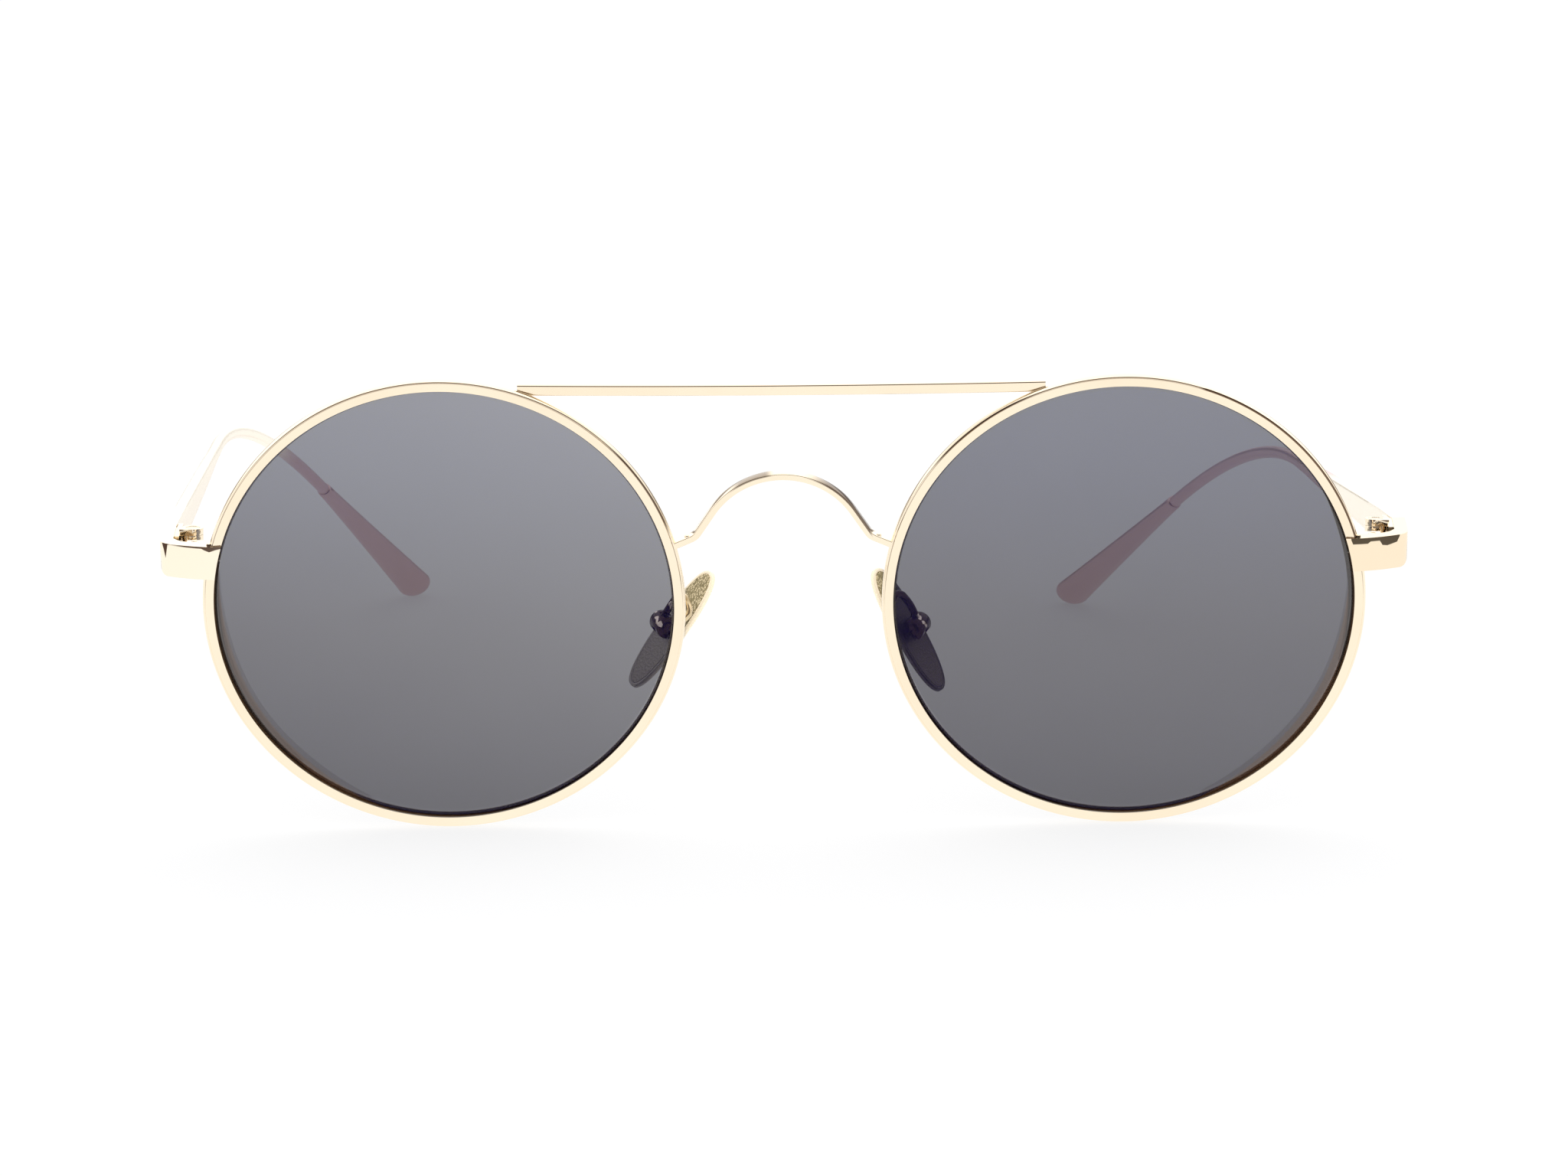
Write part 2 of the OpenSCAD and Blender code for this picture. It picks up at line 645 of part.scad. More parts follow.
module temple_tip(side) {
    straight = tip_l - tip_round;
    color(gold) temple_frame(side) tail_frame(side) difference() {
        loft(concat(
            [tip_ring(0, tip_start_r - 0.12, tip_start_r - 0.12)],
            [for (i = [0:6]) let (s = i / 6)
                tip_ring(0.12 + (straight - 0.12) * s, tip_grow(tip_start_r, tip_t / 2, s), tip_grow(tip_start_r, tip_w / 2, s))],
            [for (a = [18:18:72]) tip_ring(straight + tip_round * sin(a), tip_t / 2 * cos(a), tip_w / 2 * cos(a))],
            [tip_ring(straight + tip_round * sin(84), tip_t / 2 * cos(84), tip_w / 2 * cos(84))]
        ));
        translate([0, -1, 0]) rotate([-90, 0, 0]) cylinder(r = core_r + 0.02, h = core_l + 1.1, $fn = 32);
    }
}

// Nose pads

module box_shape() {
    difference() {
        rotate([90, 0, 0]) cylinder(r = pad_box_r, h = pad_box_l, center = true, $fn = 64);
        translate([-box_flat - 3, -3, -3]) cube([3, 6, 6]);
        translate([-3, -slot_w / 2, -3]) cube([3 + lug_r + 0.06, slot_w, 6]);
    }
}

module pad_box(side) {
    color(gold) pad_frame(side, 0) difference() {
        box_shape();
        rotate([90, 0, 0]) cylinder(r = pad_screw_r + eps, h = pad_box_l + 2, center = true, $fn = 48);
    }
}

module pad_arm(side) {
    color(gold) difference() {
        front_frame() sided(side) wire(curve(arm_route(side), 3), arm_wire_r, 10);
        front_frame() sided(side) rim_blank();
        pad_frame(side, 0) rotate([90, 0, 0]) cylinder(r = pad_box_r, h = pad_box_l, center = true, $fn = 64);
    }
}

module pad_screw(side) {
    color(gold) pad_frame(side, 0) difference() {
        union() {
            rotate([90, 0, 0]) cylinder(r = pad_screw_r, h = pad_box_l, center = true, $fn = 48);
            translate([0, -pad_box_l / 2, 0]) rotate([90, 0, 0]) cylinder(r = pad_head_r, h = pad_head_h, $fn = 48);
        }
        translate([-2, -pad_box_l / 2 - pad_head_h - 1, -0.07]) cube([4, 1.14, 0.14]);
    }
}

// The plate lies in the pad's outer face and carries the lug that turns on the screw
module pad_core(side) {
    color(pale_gold) pad_frame(side, pad_rock(side)) difference() {
        union() {
            translate([-core_at - pad_core_t, 0, 0]) rotate([90, 0, 90])
                linear_extrude(pad_core_t) polygon(oval(pad_w - 2 * pad_border, pad_l - 2 * pad_border, 48));
            rotate([90, 0, 0]) cylinder(r = lug_r, h = lug_w, center = true, $fn = 64);
            translate([-core_at - eps, -lug_w / 2, -0.6]) cube([core_at + eps, lug_w, 1.2]);
        }
        rotate([90, 0, 0]) cylinder(r = pad_screw_r + pad_clear, h = 4, center = true, $fn = 48);
    }
}

function pad_ring(x, inset) = [for (p = oval(pad_w - 2 * inset, pad_l - 2 * inset, 48)) [-x, p[0], p[1]]];

module nose_pad(side) {
    color(clear_pad) pad_frame(side, pad_rock(side)) difference() {
        loft([
            pad_ring(core_at + pad_t + 0.1, 1.5),
            pad_ring(core_at + pad_t, 0.7),
            pad_ring(core_at + pad_t - 0.25, 0.12),
            pad_ring(core_at + pad_t / 2, 0),
            pad_ring(core_at + 0.12, 0.05),
            pad_ring(core_at, 0.15)
        ]);
        translate([-core_at - pad_core_t - 0.02, 0, 0]) rotate([90, 0, 90])
            linear_extrude(pad_core_t + 1) polygon(oval(pad_w - 2 * pad_border + 0.04, pad_l - 2 * pad_border + 0.04, 48));
    }
}

rim(-1);  // left_rim
rim(1);  // right_rim
lens(-1);  // left_lens
lens(1);  // right_lens
brow_bar();
nose_bridge();
endpiece(-1);  // left_endpiece
endpiece(1);  // right_endpiece
lock_upper(-1);  // left_lock_upper
lock_upper(1);  // right_lock_upper
lock_lower(-1);  // left_lock_lower
lock_lower(1);  // right_lock_lower
lock_screw(-1);  // left_lock_screw
lock_screw(1);  // right_lock_screw
front_hinge(-1);  // left_front_hinge
front_hinge(1);  // right_front_hinge
hinge_screw(-1);  // left_hinge_screw
hinge_screw(1);  // right_hinge_screw
temple_hinge(-1);  // left_temple_hinge
temple_hinge(1);  // right_temple_hinge
temple_bar(-1);  // left_temple_bar
temple_bar(1);  // right_temple_bar
temple_tip(-1);  // left_temple_tip
temple_tip(1);  // right_temple_tip
pad_arm(-1);  // left_pad_arm
pad_arm(1);  // right_pad_arm
pad_box(-1);  // left_pad_box
pad_box(1);  // right_pad_box
pad_screw(-1);  // left_pad_screw
pad_screw(1);  // right_pad_screw
pad_core(-1);  // left_pad_core
pad_core(1);  // right_pad_core
nose_pad(-1);  // left_nose_pad
nose_pad(1);  // right_nose_pad
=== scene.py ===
"""Round metal sunglasses on a pale floor in soft studio light."""

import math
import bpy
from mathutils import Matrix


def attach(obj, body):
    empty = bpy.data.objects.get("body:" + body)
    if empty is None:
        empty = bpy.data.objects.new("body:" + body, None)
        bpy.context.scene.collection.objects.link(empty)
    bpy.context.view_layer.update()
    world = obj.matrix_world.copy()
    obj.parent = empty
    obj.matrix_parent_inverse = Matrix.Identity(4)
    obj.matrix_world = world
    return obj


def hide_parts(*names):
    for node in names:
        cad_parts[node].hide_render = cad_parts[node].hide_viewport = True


bl_info = {
    "name": "Round metal sunglasses",
    "version": (1, 0, 0),
    "blender": (4, 5, 0),
    "location": "View3D > Sidebar > Sunglasses",
    "description": "Builds the dressed sunglasses, their materials and the studio around them",
    "category": "Object",
}

import bmesh
import bpy
from bpy.props import FloatProperty, FloatVectorProperty, PointerProperty
from mathutils import Matrix, Vector

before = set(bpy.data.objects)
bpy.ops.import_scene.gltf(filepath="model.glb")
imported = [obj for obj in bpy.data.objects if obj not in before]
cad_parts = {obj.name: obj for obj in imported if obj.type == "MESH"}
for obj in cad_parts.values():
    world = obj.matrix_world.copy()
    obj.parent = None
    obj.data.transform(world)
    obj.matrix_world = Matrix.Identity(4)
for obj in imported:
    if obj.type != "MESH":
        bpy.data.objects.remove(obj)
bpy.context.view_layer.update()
MM = 0.001
SIDES = (("left", -1), ("right", 1))


# Sizes and colours of the panel

def number(name, description, default):
    return FloatProperty(name=name, description=description, default=default)


def colour(name, description, default):
    return FloatVectorProperty(name=name, description=description, subtype="COLOR", size=3, min=0, max=1,
                               default=default)


class FrontSizes(bpy.types.PropertyGroup):
    """Sizes of the front: rims, lenses, brow bar, bridge and endpieces"""
    lean: number("Lean", "Forward lean of the front, in degrees", 10.8)
    stand: number("Stand", "Distance from the rim centres to the floor along the front, in mm", 27.2355)
    contact_y: number("Contact", "Place of the line where the rims touch the floor, in mm", -61.8524)
    rim_x: number("Rim centre", "Distance from the middle to a rim's centre, in mm", 38.45)
    rim_inner: number("Rim inner radius", "Inner radius of a rim's face, in mm", 26.05)
    rim_face: number("Rim face", "Width of a rim's face, in mm", 1.0)
    rim_bulge: number("Rim bulge", "Bulge of the outer surface past the face, in mm", 0.3)
    rim_depth: number("Rim depth", "Depth of the rim wire, in mm", 1.25)
    rear_lip: number("Rear lip", "How far the rear lip stands in past the front lip, in mm", 0.25)
    brow_half: number("Brow bar half length", "Half length of the brow bar, in mm", 29.5)
    brow_top: number("Brow bar top", "Top of the brow bar over the rim centres, in mm", 26.444)
    brow_face: number("Brow bar height", "Height of the brow bar's face, in mm", 1.25)
    brow_back: number("Brow bar set-back", "Set-back behind the rim faces, in mm", 0.85)
    brow_thick: number("Brow bar thickness", "Thickness of the brow bar, in mm", 1.0)
    brow_dip: number("Brow bar dip", "Dip of the middle below the ends, in mm", 0.22)
    arch_r: number("Arch radius", "Radius of the bridge arch, in mm", 9.45)
    arch_v: number("Arch height", "Height of the arch centre over the rim centres, in mm", 6.0)
    bridge_w: number("Bridge width", "Width of the bridge strip from in front, in mm", 0.78)
    bridge_d: number("Bridge depth", "Depth of the bridge strip, in mm", 1.35)
    end_v: number("Endpiece height", "Middle of the endpieces over the rim centres, in mm", 5.7)
    end_h: number("Endpiece size", "Height of an endpiece, in mm", 4.0)


class TempleSizes(bpy.types.PropertyGroup):
    """Sizes of the temples and of how they stand"""
    hinge_x: number("Hinge side", "Distance from the middle to a hinge axis, in mm", 67.15)
    hinge_t: number("Hinge depth", "Distance of a hinge axis behind the rim faces, in mm", 5.8)
    cant: number("Cant", "Sideways cant of the hinge axes, in degrees", 1.2)
    bar_x: number("Bar offset", "Distance from a hinge axis out to the temple's middle, in mm", 2.6)
    thick: number("Thickness", "Thickness of a temple, in mm", 1.5)
    root_h: number("Root height", "Height of a temple at its hinge, in mm", 3.9)
    straight: number("Straight", "Length of the straight part, in mm", 53.5)
    bend_r: number("Ear bend radius", "Radius of the ear bend, in mm", 82.0)
    left_bend: number("Left ear bend", "Angle of the left ear bend, in degrees", 39.2)
    right_bend: number("Right ear bend", "Angle of the right ear bend, in degrees", 33.9)
    turn_in: number("Turn in", "Turn of the ear bends toward the middle, in degrees", 27.3)
    left_drop: number("Left drop", "Drop of the left temple, in degrees", -1.59219)
    right_drop: number("Right drop", "Drop of the right temple, in degrees", 1.36943)
    right_swing: number("Right swing", "Swing of the right temple, in degrees", 7.9)
    tip_l: number("Tip length", "Length of a temple tip, in mm", 36.0)
    tip_w: number("Tip width", "Width of a temple tip, in mm", 4.4)
    tip_t: number("Tip thickness", "Thickness of a temple tip, in mm", 2.5)


class PadSizes(bpy.types.PropertyGroup):
    """Sizes of the nose pads"""
    left_x: number("Left pad", "Distance from the middle to the left pad's screw, in mm", 13.8)
    right_x: number("Right pad", "Distance from the middle to the right pad's screw, in mm", 15.1)
    left_v: number("Left pad height", "Height of the left pad's screw over the rim centres, in mm", -4.95)
    right_v: number("Right pad height", "Height of the right pad's screw over the rim centres, in mm", -5.4)
    pad_back: number("Pad depth", "Distance of a pad's screw behind the rim faces, in mm", 6.6)
    tilt: number("Tilt", "Tilt of a pad in mid travel, in degrees", 35.0)
    rock: number("Rock", "How far both pads have rocked, in degrees", 4.0)
    splay: number("Splay", "Angle by which the pads open to the face, in degrees", 22.0)
    length: number("Pad length", "Length of a pad, in mm", 16.0)
    width: number("Pad width", "Width of a pad, in mm", 6.2)
    thick: number("Pad thickness", "Thickness of a pad, in mm", 0.8)


class Finish(bpy.types.PropertyGroup):
    """Colours of the metal, the lenses and the pads"""
    gold: colour("Gold", "Colour of the champagne gold plate", (0.95, 0.83, 0.645))
    pale: colour("Pale gold", "Colour of the grained pad plates", (0.72, 0.60, 0.38))
    smoke: colour("Lens grey", "Colour of the tinted lenses", (0.006, 0.002, 0.030))
    pad: colour("Pad", "Colour of the soft pads", (1.0, 0.94, 0.80))


# Sizes of details, in mm

SLIT = 0.16  # slit of a rim behind its endpiece
RIM_STEPS = 300
BULGE_STEPS = 12
WIRE_EDGE, WIRE_ROUND = 0.1, ((0.12, 0.0), (0.05, 0.02))  # rounding of a rim's outer edges
LIP, LIP_EDGE, LIP_ROUND = 0.28, 0.06, 0.015  # thickness of a rim's lips, rounding of their inner edges
GROOVE_SHARE, GROOVE_FLAT = 0.6, 0.12  # depth of the lens groove in the face's width, flat at its bottom

BROW_STEPS, BROW_ROUND, BROW_BEAD = 60, 0.16, 0.24
BRIDGE_ROUND, BRIDGE_BEAD, BRIDGE_BACK = 0.14, 0.3, 0.2
BRIDGE_LEG = math.radians(57)  # slope of the bridge's legs
BRIDGE_FOOT = 9.9  # distance of a foot from the middle
ARCH_STEPS = 24
FOOT_PATH = ((-0.45, 0.72), (-0.25, 0.42), (-0.05, 0.2), (0.15, 0.05), (0.4, -0.09), (0.65, -0.2))
FOOT_END = (12.3, -0.97)  # place across, and height under the end of the leg

ENDPIECE_ROUND = 0.22
# Part, body and rounding of its edges
FITTINGS = (("lock_upper", "front", 0.08), ("lock_lower", "front", 0.08), ("lock_screw", "front", 0.05),
            ("front_hinge", "front", 0.06), ("hinge_screw", "front", 0.04), ("temple_hinge", "temple", 0.06),
            ("pad_box", "front", 0.07), ("pad_screw", "front", 0.05), ("pad_arm", "front", 0.0))
FINE_ROUND = 0.03  # rounding of the pad arms and lugs

TEMPLE_SIDES = 40
ROOT_STATIONS = (0.03, 0.05, 0.12, 2, 4, 6, 7)  # stations of the flat root, from the hinge axis
TAPER_STEPS, BEND_STEPS, CORE_LENGTH = 30, 48, 0.6
TIP_EDGE = ((0, 0.76), (0.03, 0.82), (0.1, 0.87))  # place and radius of the sleeve's open end
TIP_START, TIP_RADIUS, TIP_END = 0.14, 0.9, 2.6
TIP_STEPS, TIP_END_STEPS, TIP_END_ANGLE = 24, 12, 87

PAD_SIDES = 72
PAD_POWER = 0.86  # 1 is an ellipse, less is squarer
PAD_FACE = 0.95  # distance of a pad's back from its screw
PAD_BORDER, PLATE_THICK = 0.45, 0.4


# Places

def front_matrix():
    """Matrix from the leaning front, X across, Y into the depth, Z up from the rim centres, in mm"""
    s = bpy.context.scene.front_sizes
    return (Matrix.Translation((0, s.contact_y * MM, 0)) @ Matrix.Rotation(math.radians(s.lean), 4, "X")
            @ Matrix.Scale(MM, 4) @ Matrix.Translation((0, 0, s.stand)))


def sided(side):
    """Mirror to the left for -1"""
    return Matrix.Diagonal((side, 1, 1, 1))


def hinge_matrix(side):
    """The temple's frame: Y along the temple, Z up, from the hinge"""
    f, t = bpy.context.scene.front_sizes, bpy.context.scene.temple_sizes
    drop, swing = (t.left_drop, 0) if side < 0 else (t.right_drop, t.right_swing)
    cant = math.radians(side * t.cant)
    return (front_matrix() @ sided(side) @ Matrix.Translation((t.hinge_x, t.hinge_t, f.end_v))
            @ Matrix.Rotation(math.radians(-f.lean - drop), 4, "X") @ Matrix.Rotation(cant, 4, "Y")
            @ Matrix.Rotation(math.radians(swing), 4, "Z") @ Matrix.Rotation(-cant, 4, "Y"))


def bend_matrix(side, angle):
    """A place along the ear bend: Y along the wire, X out of the bend"""
    t = bpy.context.scene.temple_sizes
    return (hinge_matrix(side) @ Matrix.Translation((t.bar_x, t.straight, 0))
            @ Matrix.Rotation(math.radians(t.turn_in - 90), 4, "Y")
            @ Matrix.Translation((-t.bend_r, 0, 0)) @ Matrix.Rotation(math.radians(angle), 4, "Z")
            @ Matrix.Translation((t.bend_r, 0, 0)))


def ear_bend(side):
    t = bpy.context.scene.temple_sizes
    return t.left_bend if side < 0 else t.right_bend


def pad_matrix(side):
    """A nose pad's frame: Y along its screw, -X toward the nose, Z up the pad"""
    p = bpy.context.scene.pad_sizes
    x, v = (p.left_x, p.left_v) if side < 0 else (p.right_x, p.right_v)
    return (front_matrix() @ sided(side) @ Matrix.Translation((x, p.pad_back, v))
            @ Matrix.Rotation(math.radians(-p.splay), 4, "Z")
            @ Matrix.Rotation(math.radians(side * p.rock - p.tilt), 4, "Y"))


# Mesh tools

def finish_piece(name, bm, material, body, nodes=(), matrix=None, sharp=40):
    """Turn a bmesh into a piece of the object that rides on a body"""
    if matrix is not None:
        bmesh.ops.transform(bm, matrix=matrix, verts=bm.verts)
    bmesh.ops.remove_doubles(bm, verts=bm.verts, dist=1e-7)
    bmesh.ops.recalc_face_normals(bm, faces=bm.faces)
    mesh = bpy.data.meshes.new(name)
    bm.to_mesh(mesh)
    bm.free()
    mesh.shade_smooth()
    mesh.set_sharp_from_angle(angle=math.radians(sharp))
    mesh.materials.append(material)
    piece = bpy.data.objects.new(name, mesh)
    bpy.context.scene.collection.objects.link(piece)
    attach(piece, body)
    if nodes:
        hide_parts(*nodes)
    return piece


def weighted(piece):
    """Keep broad faces flat between their rounded edges"""
    mod = piece.modifiers.new("Weighted normals", "WEIGHTED_NORMAL")
    mod.keep_sharp = True
    mod.weight = 80


def sweep(stations):
    """Extrude a closed section along stations, each a matrix and a list of points"""
    bm = bmesh.new()
    matrix, points = stations[0]
    ring = bmesh.ops.create_circle(bm, cap_ends=True, segments=len(points), radius=1)["verts"]
    for vert, point in zip(ring, points):
        vert.co = matrix @ Vector(point)
    edges = [bm.edges.get((ring[i], ring[i - 1])) for i in range(len(ring))]
    for matrix, points in stations[1:]:
        made = bmesh.ops.extrude_edge_only(bm, edges=edges)["geom"]
        new = {v for v in made if isinstance(v, bmesh.types.BMVert)}
        ring = [next(e.other_vert(v) for e in v.link_edges if e.other_vert(v) in new) for v in ring]
        for vert, point in zip(ring, points):
            vert.co = matrix @ Vector(point)
        edges = [bm.edges.get((ring[i], ring[i - 1])) for i in range(len(ring))]
    bmesh.ops.edgeloop_fill(bm, edges=edges)
    return bm


def rounded(node, width, segments=2):
    """A CAD node's own mesh, merged, with its edges rounded that are sharper than 35 degrees"""
    bm = bmesh.new()
    bm.from_mesh(bpy.data.objects[node].data)
    bmesh.ops.remove_doubles(bm, verts=bm.verts, dist=2e-7)
    bmesh.ops.dissolve_limit(bm, angle_limit=math.radians(0.5), verts=bm.verts, edges=bm.edges)
    edges = [e for e in bm.edges if len(e.link_faces) == 2 and e.calc_face_angle(0) > math.radians(35)]
    bmesh.ops.bevel(bm, geom=edges, offset=width * MM, offset_type="OFFSET", affect="EDGES",
                    segments=segments, profile=0.5, material=-1, clamp_overlap=True)
    return bm


def rounded_box(left, right, low, high, radius):
    """Outline of a rectangle with rounded corners"""
    x0, x1, y0, y1 = left + radius, right - radius, low + radius, high - radius
    outline = []
    for x, y, start in ((x1, y1, 0), (x0, y1, 90), (x0, y0, 180), (x1, y0, 270)):
        for k in range(5):
            a = math.radians(start + 22.5 * k)
            outline.append((x + radius * math.cos(a), y + radius * math.sin(a)))
    return outline


def bead(bm, place, radius):
    """A bead of solder"""
    made = bmesh.ops.create_uvsphere(bm, u_segments=24, v_segments=14, radius=radius)["verts"]
    bmesh.ops.translate(bm, vec=place, verts=made)


# Shader tools

class Value:
    """A shader socket that adds Math nodes when it is used in an expression"""

    def __init__(self, shader, socket):
        self.shader = shader
        self.socket = socket

    def _math(self, operation, *values):
        return self.shader.node("ShaderNodeMath", {"operation": operation}, *values)

    def __add__(self, other):
        return self._math("ADD", self, other)

    def __radd__(self, other):
        return self._math("ADD", other, self)

    def __sub__(self, other):
        return self._math("SUBTRACT", self, other)

    def __rsub__(self, other):
        return self._math("SUBTRACT", other, self)

    def __mul__(self, other):
        return self._math("MULTIPLY", self, other)

    def __rmul__(self, other):
        return self._math("MULTIPLY", other, self)

    def __truediv__(self, other):
        return self._math("DIVIDE", self, other)

    def root(self):
        return self._math("SQRT", self)

    def top(self, other):
        """The higher of two values"""
        return self._math("MAXIMUM", self, other)

    def size(self):
        """The value without its sign"""
        return self._math("ABSOLUTE", self)


class Shader:
    """Adds nodes to a material or a world"""

    def __init__(self, owner):
        owner.use_nodes = True
        self.tree = owner.node_tree
        self.tree.nodes.clear()

    def node(self, kind, settings=None, *values, **named):
        """Add a node, set or link its inputs by place or name, and return its first output"""
        made = self.tree.nodes.new(kind)
        for key, setting in (settings or {}).items():
            setattr(made, key, setting)
        for key, value in list(enumerate(values)) + list(named.items()):
            socket = made.inputs[key] if isinstance(key, int) else next(
                s for s in made.inputs if s.name.replace(" ", "_") == key and s.enabled)
            if isinstance(value, Value):
                self.tree.links.new(value.socket, socket)
            elif value is not None:
                socket.default_value = value
        return Value(self, made.outputs[0]) if made.outputs else None

    def source(self, kind, output):
        """A named output of a new node"""
        return Value(self, self.tree.nodes.new(kind).outputs[output])

    def parts(self, vector):
        """The X, Y and Z of a vector"""
        made = self.tree.nodes.new("ShaderNodeSeparateXYZ")
        self.tree.links.new(vector.socket, made.inputs[0])
        return [Value(self, output) for output in made.outputs]

    def clamped(self, value, low, high):
        """0 below low, 1 above high, smooth between"""
        return self.node("ShaderNodeMapRange", {"interpolation_type": "SMOOTHSTEP"},
                         value, low, high, 0.0, 1.0)

    def band(self, value, a, b, c, d):
        """0 up to a, 1 from b to c, 0 again from d"""
        return self.clamped(value, a, b) * (1 - self.clamped(value, c, d))

    def curve(self, value, stops):
        """A ramp through its stops, each a place and a height"""
        made = self.tree.nodes.new("ShaderNodeValToRGB")
        elements = made.color_ramp.elements
        while len(elements) < len(stops):
            elements.new(1.0)
        for element, (place, height) in zip(elements, stops):
            element.position = place
            element.color = (height, height, height, 1)
        self.tree.links.new(value.socket, made.inputs[0])
        return Value(self, made.outputs[0])

    def mix(self, factor, a, b):
        """Blend two colours"""
        made = self.tree.nodes.new("ShaderNodeMix")
        made.data_type = "RGBA"
        for index, value in ((0, factor), (6, a), (7, b)):
            if isinstance(value, Value):
                self.tree.links.new(value.socket, made.inputs[index])
            else:
                made.inputs[index].default_value = value if index == 0 else tuple(value)[:3] + (1,)
        return Value(self, made.outputs[2])

    def spot(self):
        """Object coordinates, in m"""
        return self.source("ShaderNodeTexCoord", "Object")

    def front(self, spot):
        """Place in the leaning front: across from the middle and up from the rim centres, in mm"""
        f = bpy.context.scene.front_sizes
        x, y, z = self.parts(spot)
        lean = math.radians(f.lean)
        up = z * math.cos(lean) - (y - f.contact_y * MM) * math.sin(lean)
        return x / MM, up / MM - f.stand

    def facing_up(self):
        """1 on faces that look up, 0 on upright ones"""
        return self.clamped(self.parts(self.source("ShaderNodeNewGeometry", "Normal"))[2], 0.45, 0.75)

    def past_rim(self, x):
        """0 in the gap for the nose, 1 past the wire of either rim"""
        return self.clamped(x.size(), 0.0110, 0.0120)

    def right_side(self, x):
        """0 on the left half, 1 on the right half"""
        return self.clamped(x, -0.001, 0.001)

    def noise(self, spot, scale, detail=3.0):
        return self.node("ShaderNodeTexNoise", None, Vector=spot, Scale=scale, Detail=detail, Roughness=0.5)

    def bump(self, height, strength, distance):
        return self.node("ShaderNodeBump", None, Strength=strength, Distance=distance, Height=height)

    def surface(self, **sockets):
        shader = self.node("ShaderNodeBsdfPrincipled", None, **sockets)
        self.node("ShaderNodeOutputMaterial", None, shader)


def new_shader(name):
    material = bpy.data.materials.new(name)
    return material, Shader(material)


# Gold. The masks of the front are in mm: across from the middle, up from the rim centres

GOLD_CLOUD = (0.93, 0.79, 0.60)
TEMPLE_PALE, TEMPLE_ROSY = (1.0, 0.94, 0.82), (0.72, 0.53, 0.51)
# Painted brown reflections on the rims and their reflection line, along the brow bar's edge and on the bridge
RIM_BROWN_REFLECTION, RIM_REFLECTION_LINE = (0.06, 0.026, 0.010), (0.12, 0.065, 0.035)
BAR_REFLECTION_LINE, ARCH_BROWN = (0.14, 0.08, 0.05), (0.10, 0.06, 0.04)
# Painted light of the endpieces: each face is painted to its own lit tone, and the brown is a painted
# reflection
END_LIGHT_AND_REFLECTION = {"left": ((1.0, 0.93, 0.78), (0.05, 0.017, 0.006)),
             "right": ((0.90, 0.74, 0.53), (0.06, 0.043, 0.025))}
# Depth of the painted brown reflection below an endpiece's top edge, along the plate: place, half depth in mm
END_SHADE = {
    "left": ((0.04, 0.03), (0.13, 0.12), (0.22, 0.26), (0.29, 0.15), (0.33, 0.06), (0.78, 0.02),
             (0.82, 0.03), (0.855, 0.85), (0.88, 0.3), (0.90, 0.0)),
    "right": ((0.12, 0.0), (0.15, 0.3), (0.36, 0.3), (0.40, 0.17), (0.53, 0.17), (0.57, 0.45),
              (0.64, 0.5), (0.78, 0.36), (0.82, 0.0)),
}
END_START, END_SPAN, END_INSET = 24.5, 8.0, 0.12  # the plate from the rim's centre, and its edge's inset


def temple_tint(s, spot, cloud, tint):
    """A paler gold that turns rosy along the ear bend and the tip, sooner on the right temple"""
    x, y, _ = s.parts(spot)
    tint = s.mix(0.85, tint, TEMPLE_PALE)
    return s.mix(s.clamped(y + 0.058 * s.right_side(x), 0.024, 0.034), tint, TEMPLE_ROSY)


def rim_tint(s, spot, cloud, tint):
    """Painted brown reflections on the rounded outside of the rims toward the nose, and a thin painted dark
    reflection line round it
    """
    rim_x = bpy.context.scene.front_sizes.rim_x
    across, up = s.front(spot)
    from_rim = across.size() - rim_x
    radius = (from_rim * from_rim + up * up).root()
    right = s.clamped(across, -1.0, 1.0)
    shade = s.clamped(up - 8.0 * right, 8.0, 10.5) * (1 - s.clamped(up - 6.0 * right, 17.5, 20.5))
    shade = shade * s.clamped(-1 * from_rim, 8.0, 12.0) * s.clamped(radius, 27.0, 27.05)
    shade = shade * (1 - 0.75 * s.clamped(radius, 27.17, 27.25))
    tint = s.mix(shade * (0.8 + 0.3 * cloud), tint, RIM_BROWN_REFLECTION)
    # The painted reflection line is wider on the upper outer side of the right rim
    wide = s.clamped(across - rim_x, 8.0, 9.0) * s.clamped(up, 4.0, 6.0)
    line = s.clamped(radius, 26.97, 27.0) * (1 - s.clamped(radius - 0.13 * wide, 27.06, 27.10))
    line = line * s.clamped(up + from_rim.size() * 0.1, 2.0, 8.0) * (0.55 + 0.4 * wide)
    return s.mix(line, tint, RIM_REFLECTION_LINE)


def endpiece_tint(s, spot, cloud, tint, name):
    """Painted brown reflections under the top edge of an endpiece, on a face painted paler on the left
    endpiece than on the right
    """
    f = bpy.context.scene.front_sizes
    across, up = s.front(spot)
    depth = 2.0 * s.curve((across.size() - f.rim_x - END_START) / END_SPAN, END_SHADE[name])
    edge = f.end_v + f.end_h / 2 - END_INSET - depth
    shade = s.clamped(up - edge, -0.05, 0.05) * s.clamped(depth, 0.02, 0.08) * (1 - s.facing_up())
    # The face is painted paler on the left and deeper on the right, as lit and shaded copies of one gold; the
    # dark tone is the painted reflection
    face, dark = END_LIGHT_AND_REFLECTION[name]
    tint = s.mix(0.5, tint, face)
    return s.mix(shade * (0.85 + 0.2 * cloud), tint, dark)


def left_end_tint(s, spot, cloud, tint):
    return endpiece_tint(s, spot, cloud, tint, "left")


def right_end_tint(s, spot, cloud, tint):
    return endpiece_tint(s, spot, cloud, tint, "right")


def bar_tint(s, spot, cloud, tint):
    """A thin painted brown reflection line along the brow bar's upper front edge"""
    f = bpy.context.scene.front_sizes
    across, up = s.front(spot)
    along = across / f.brow_half
    edge = f.brow_top - f.brow_dip * (1 - along * along)
    line = s.clamped(up - edge, -0.17, -0.14) * (1 - s.facing_up())
    return s.mix(line * 0.8, tint, BAR_REFLECTION_LINE)


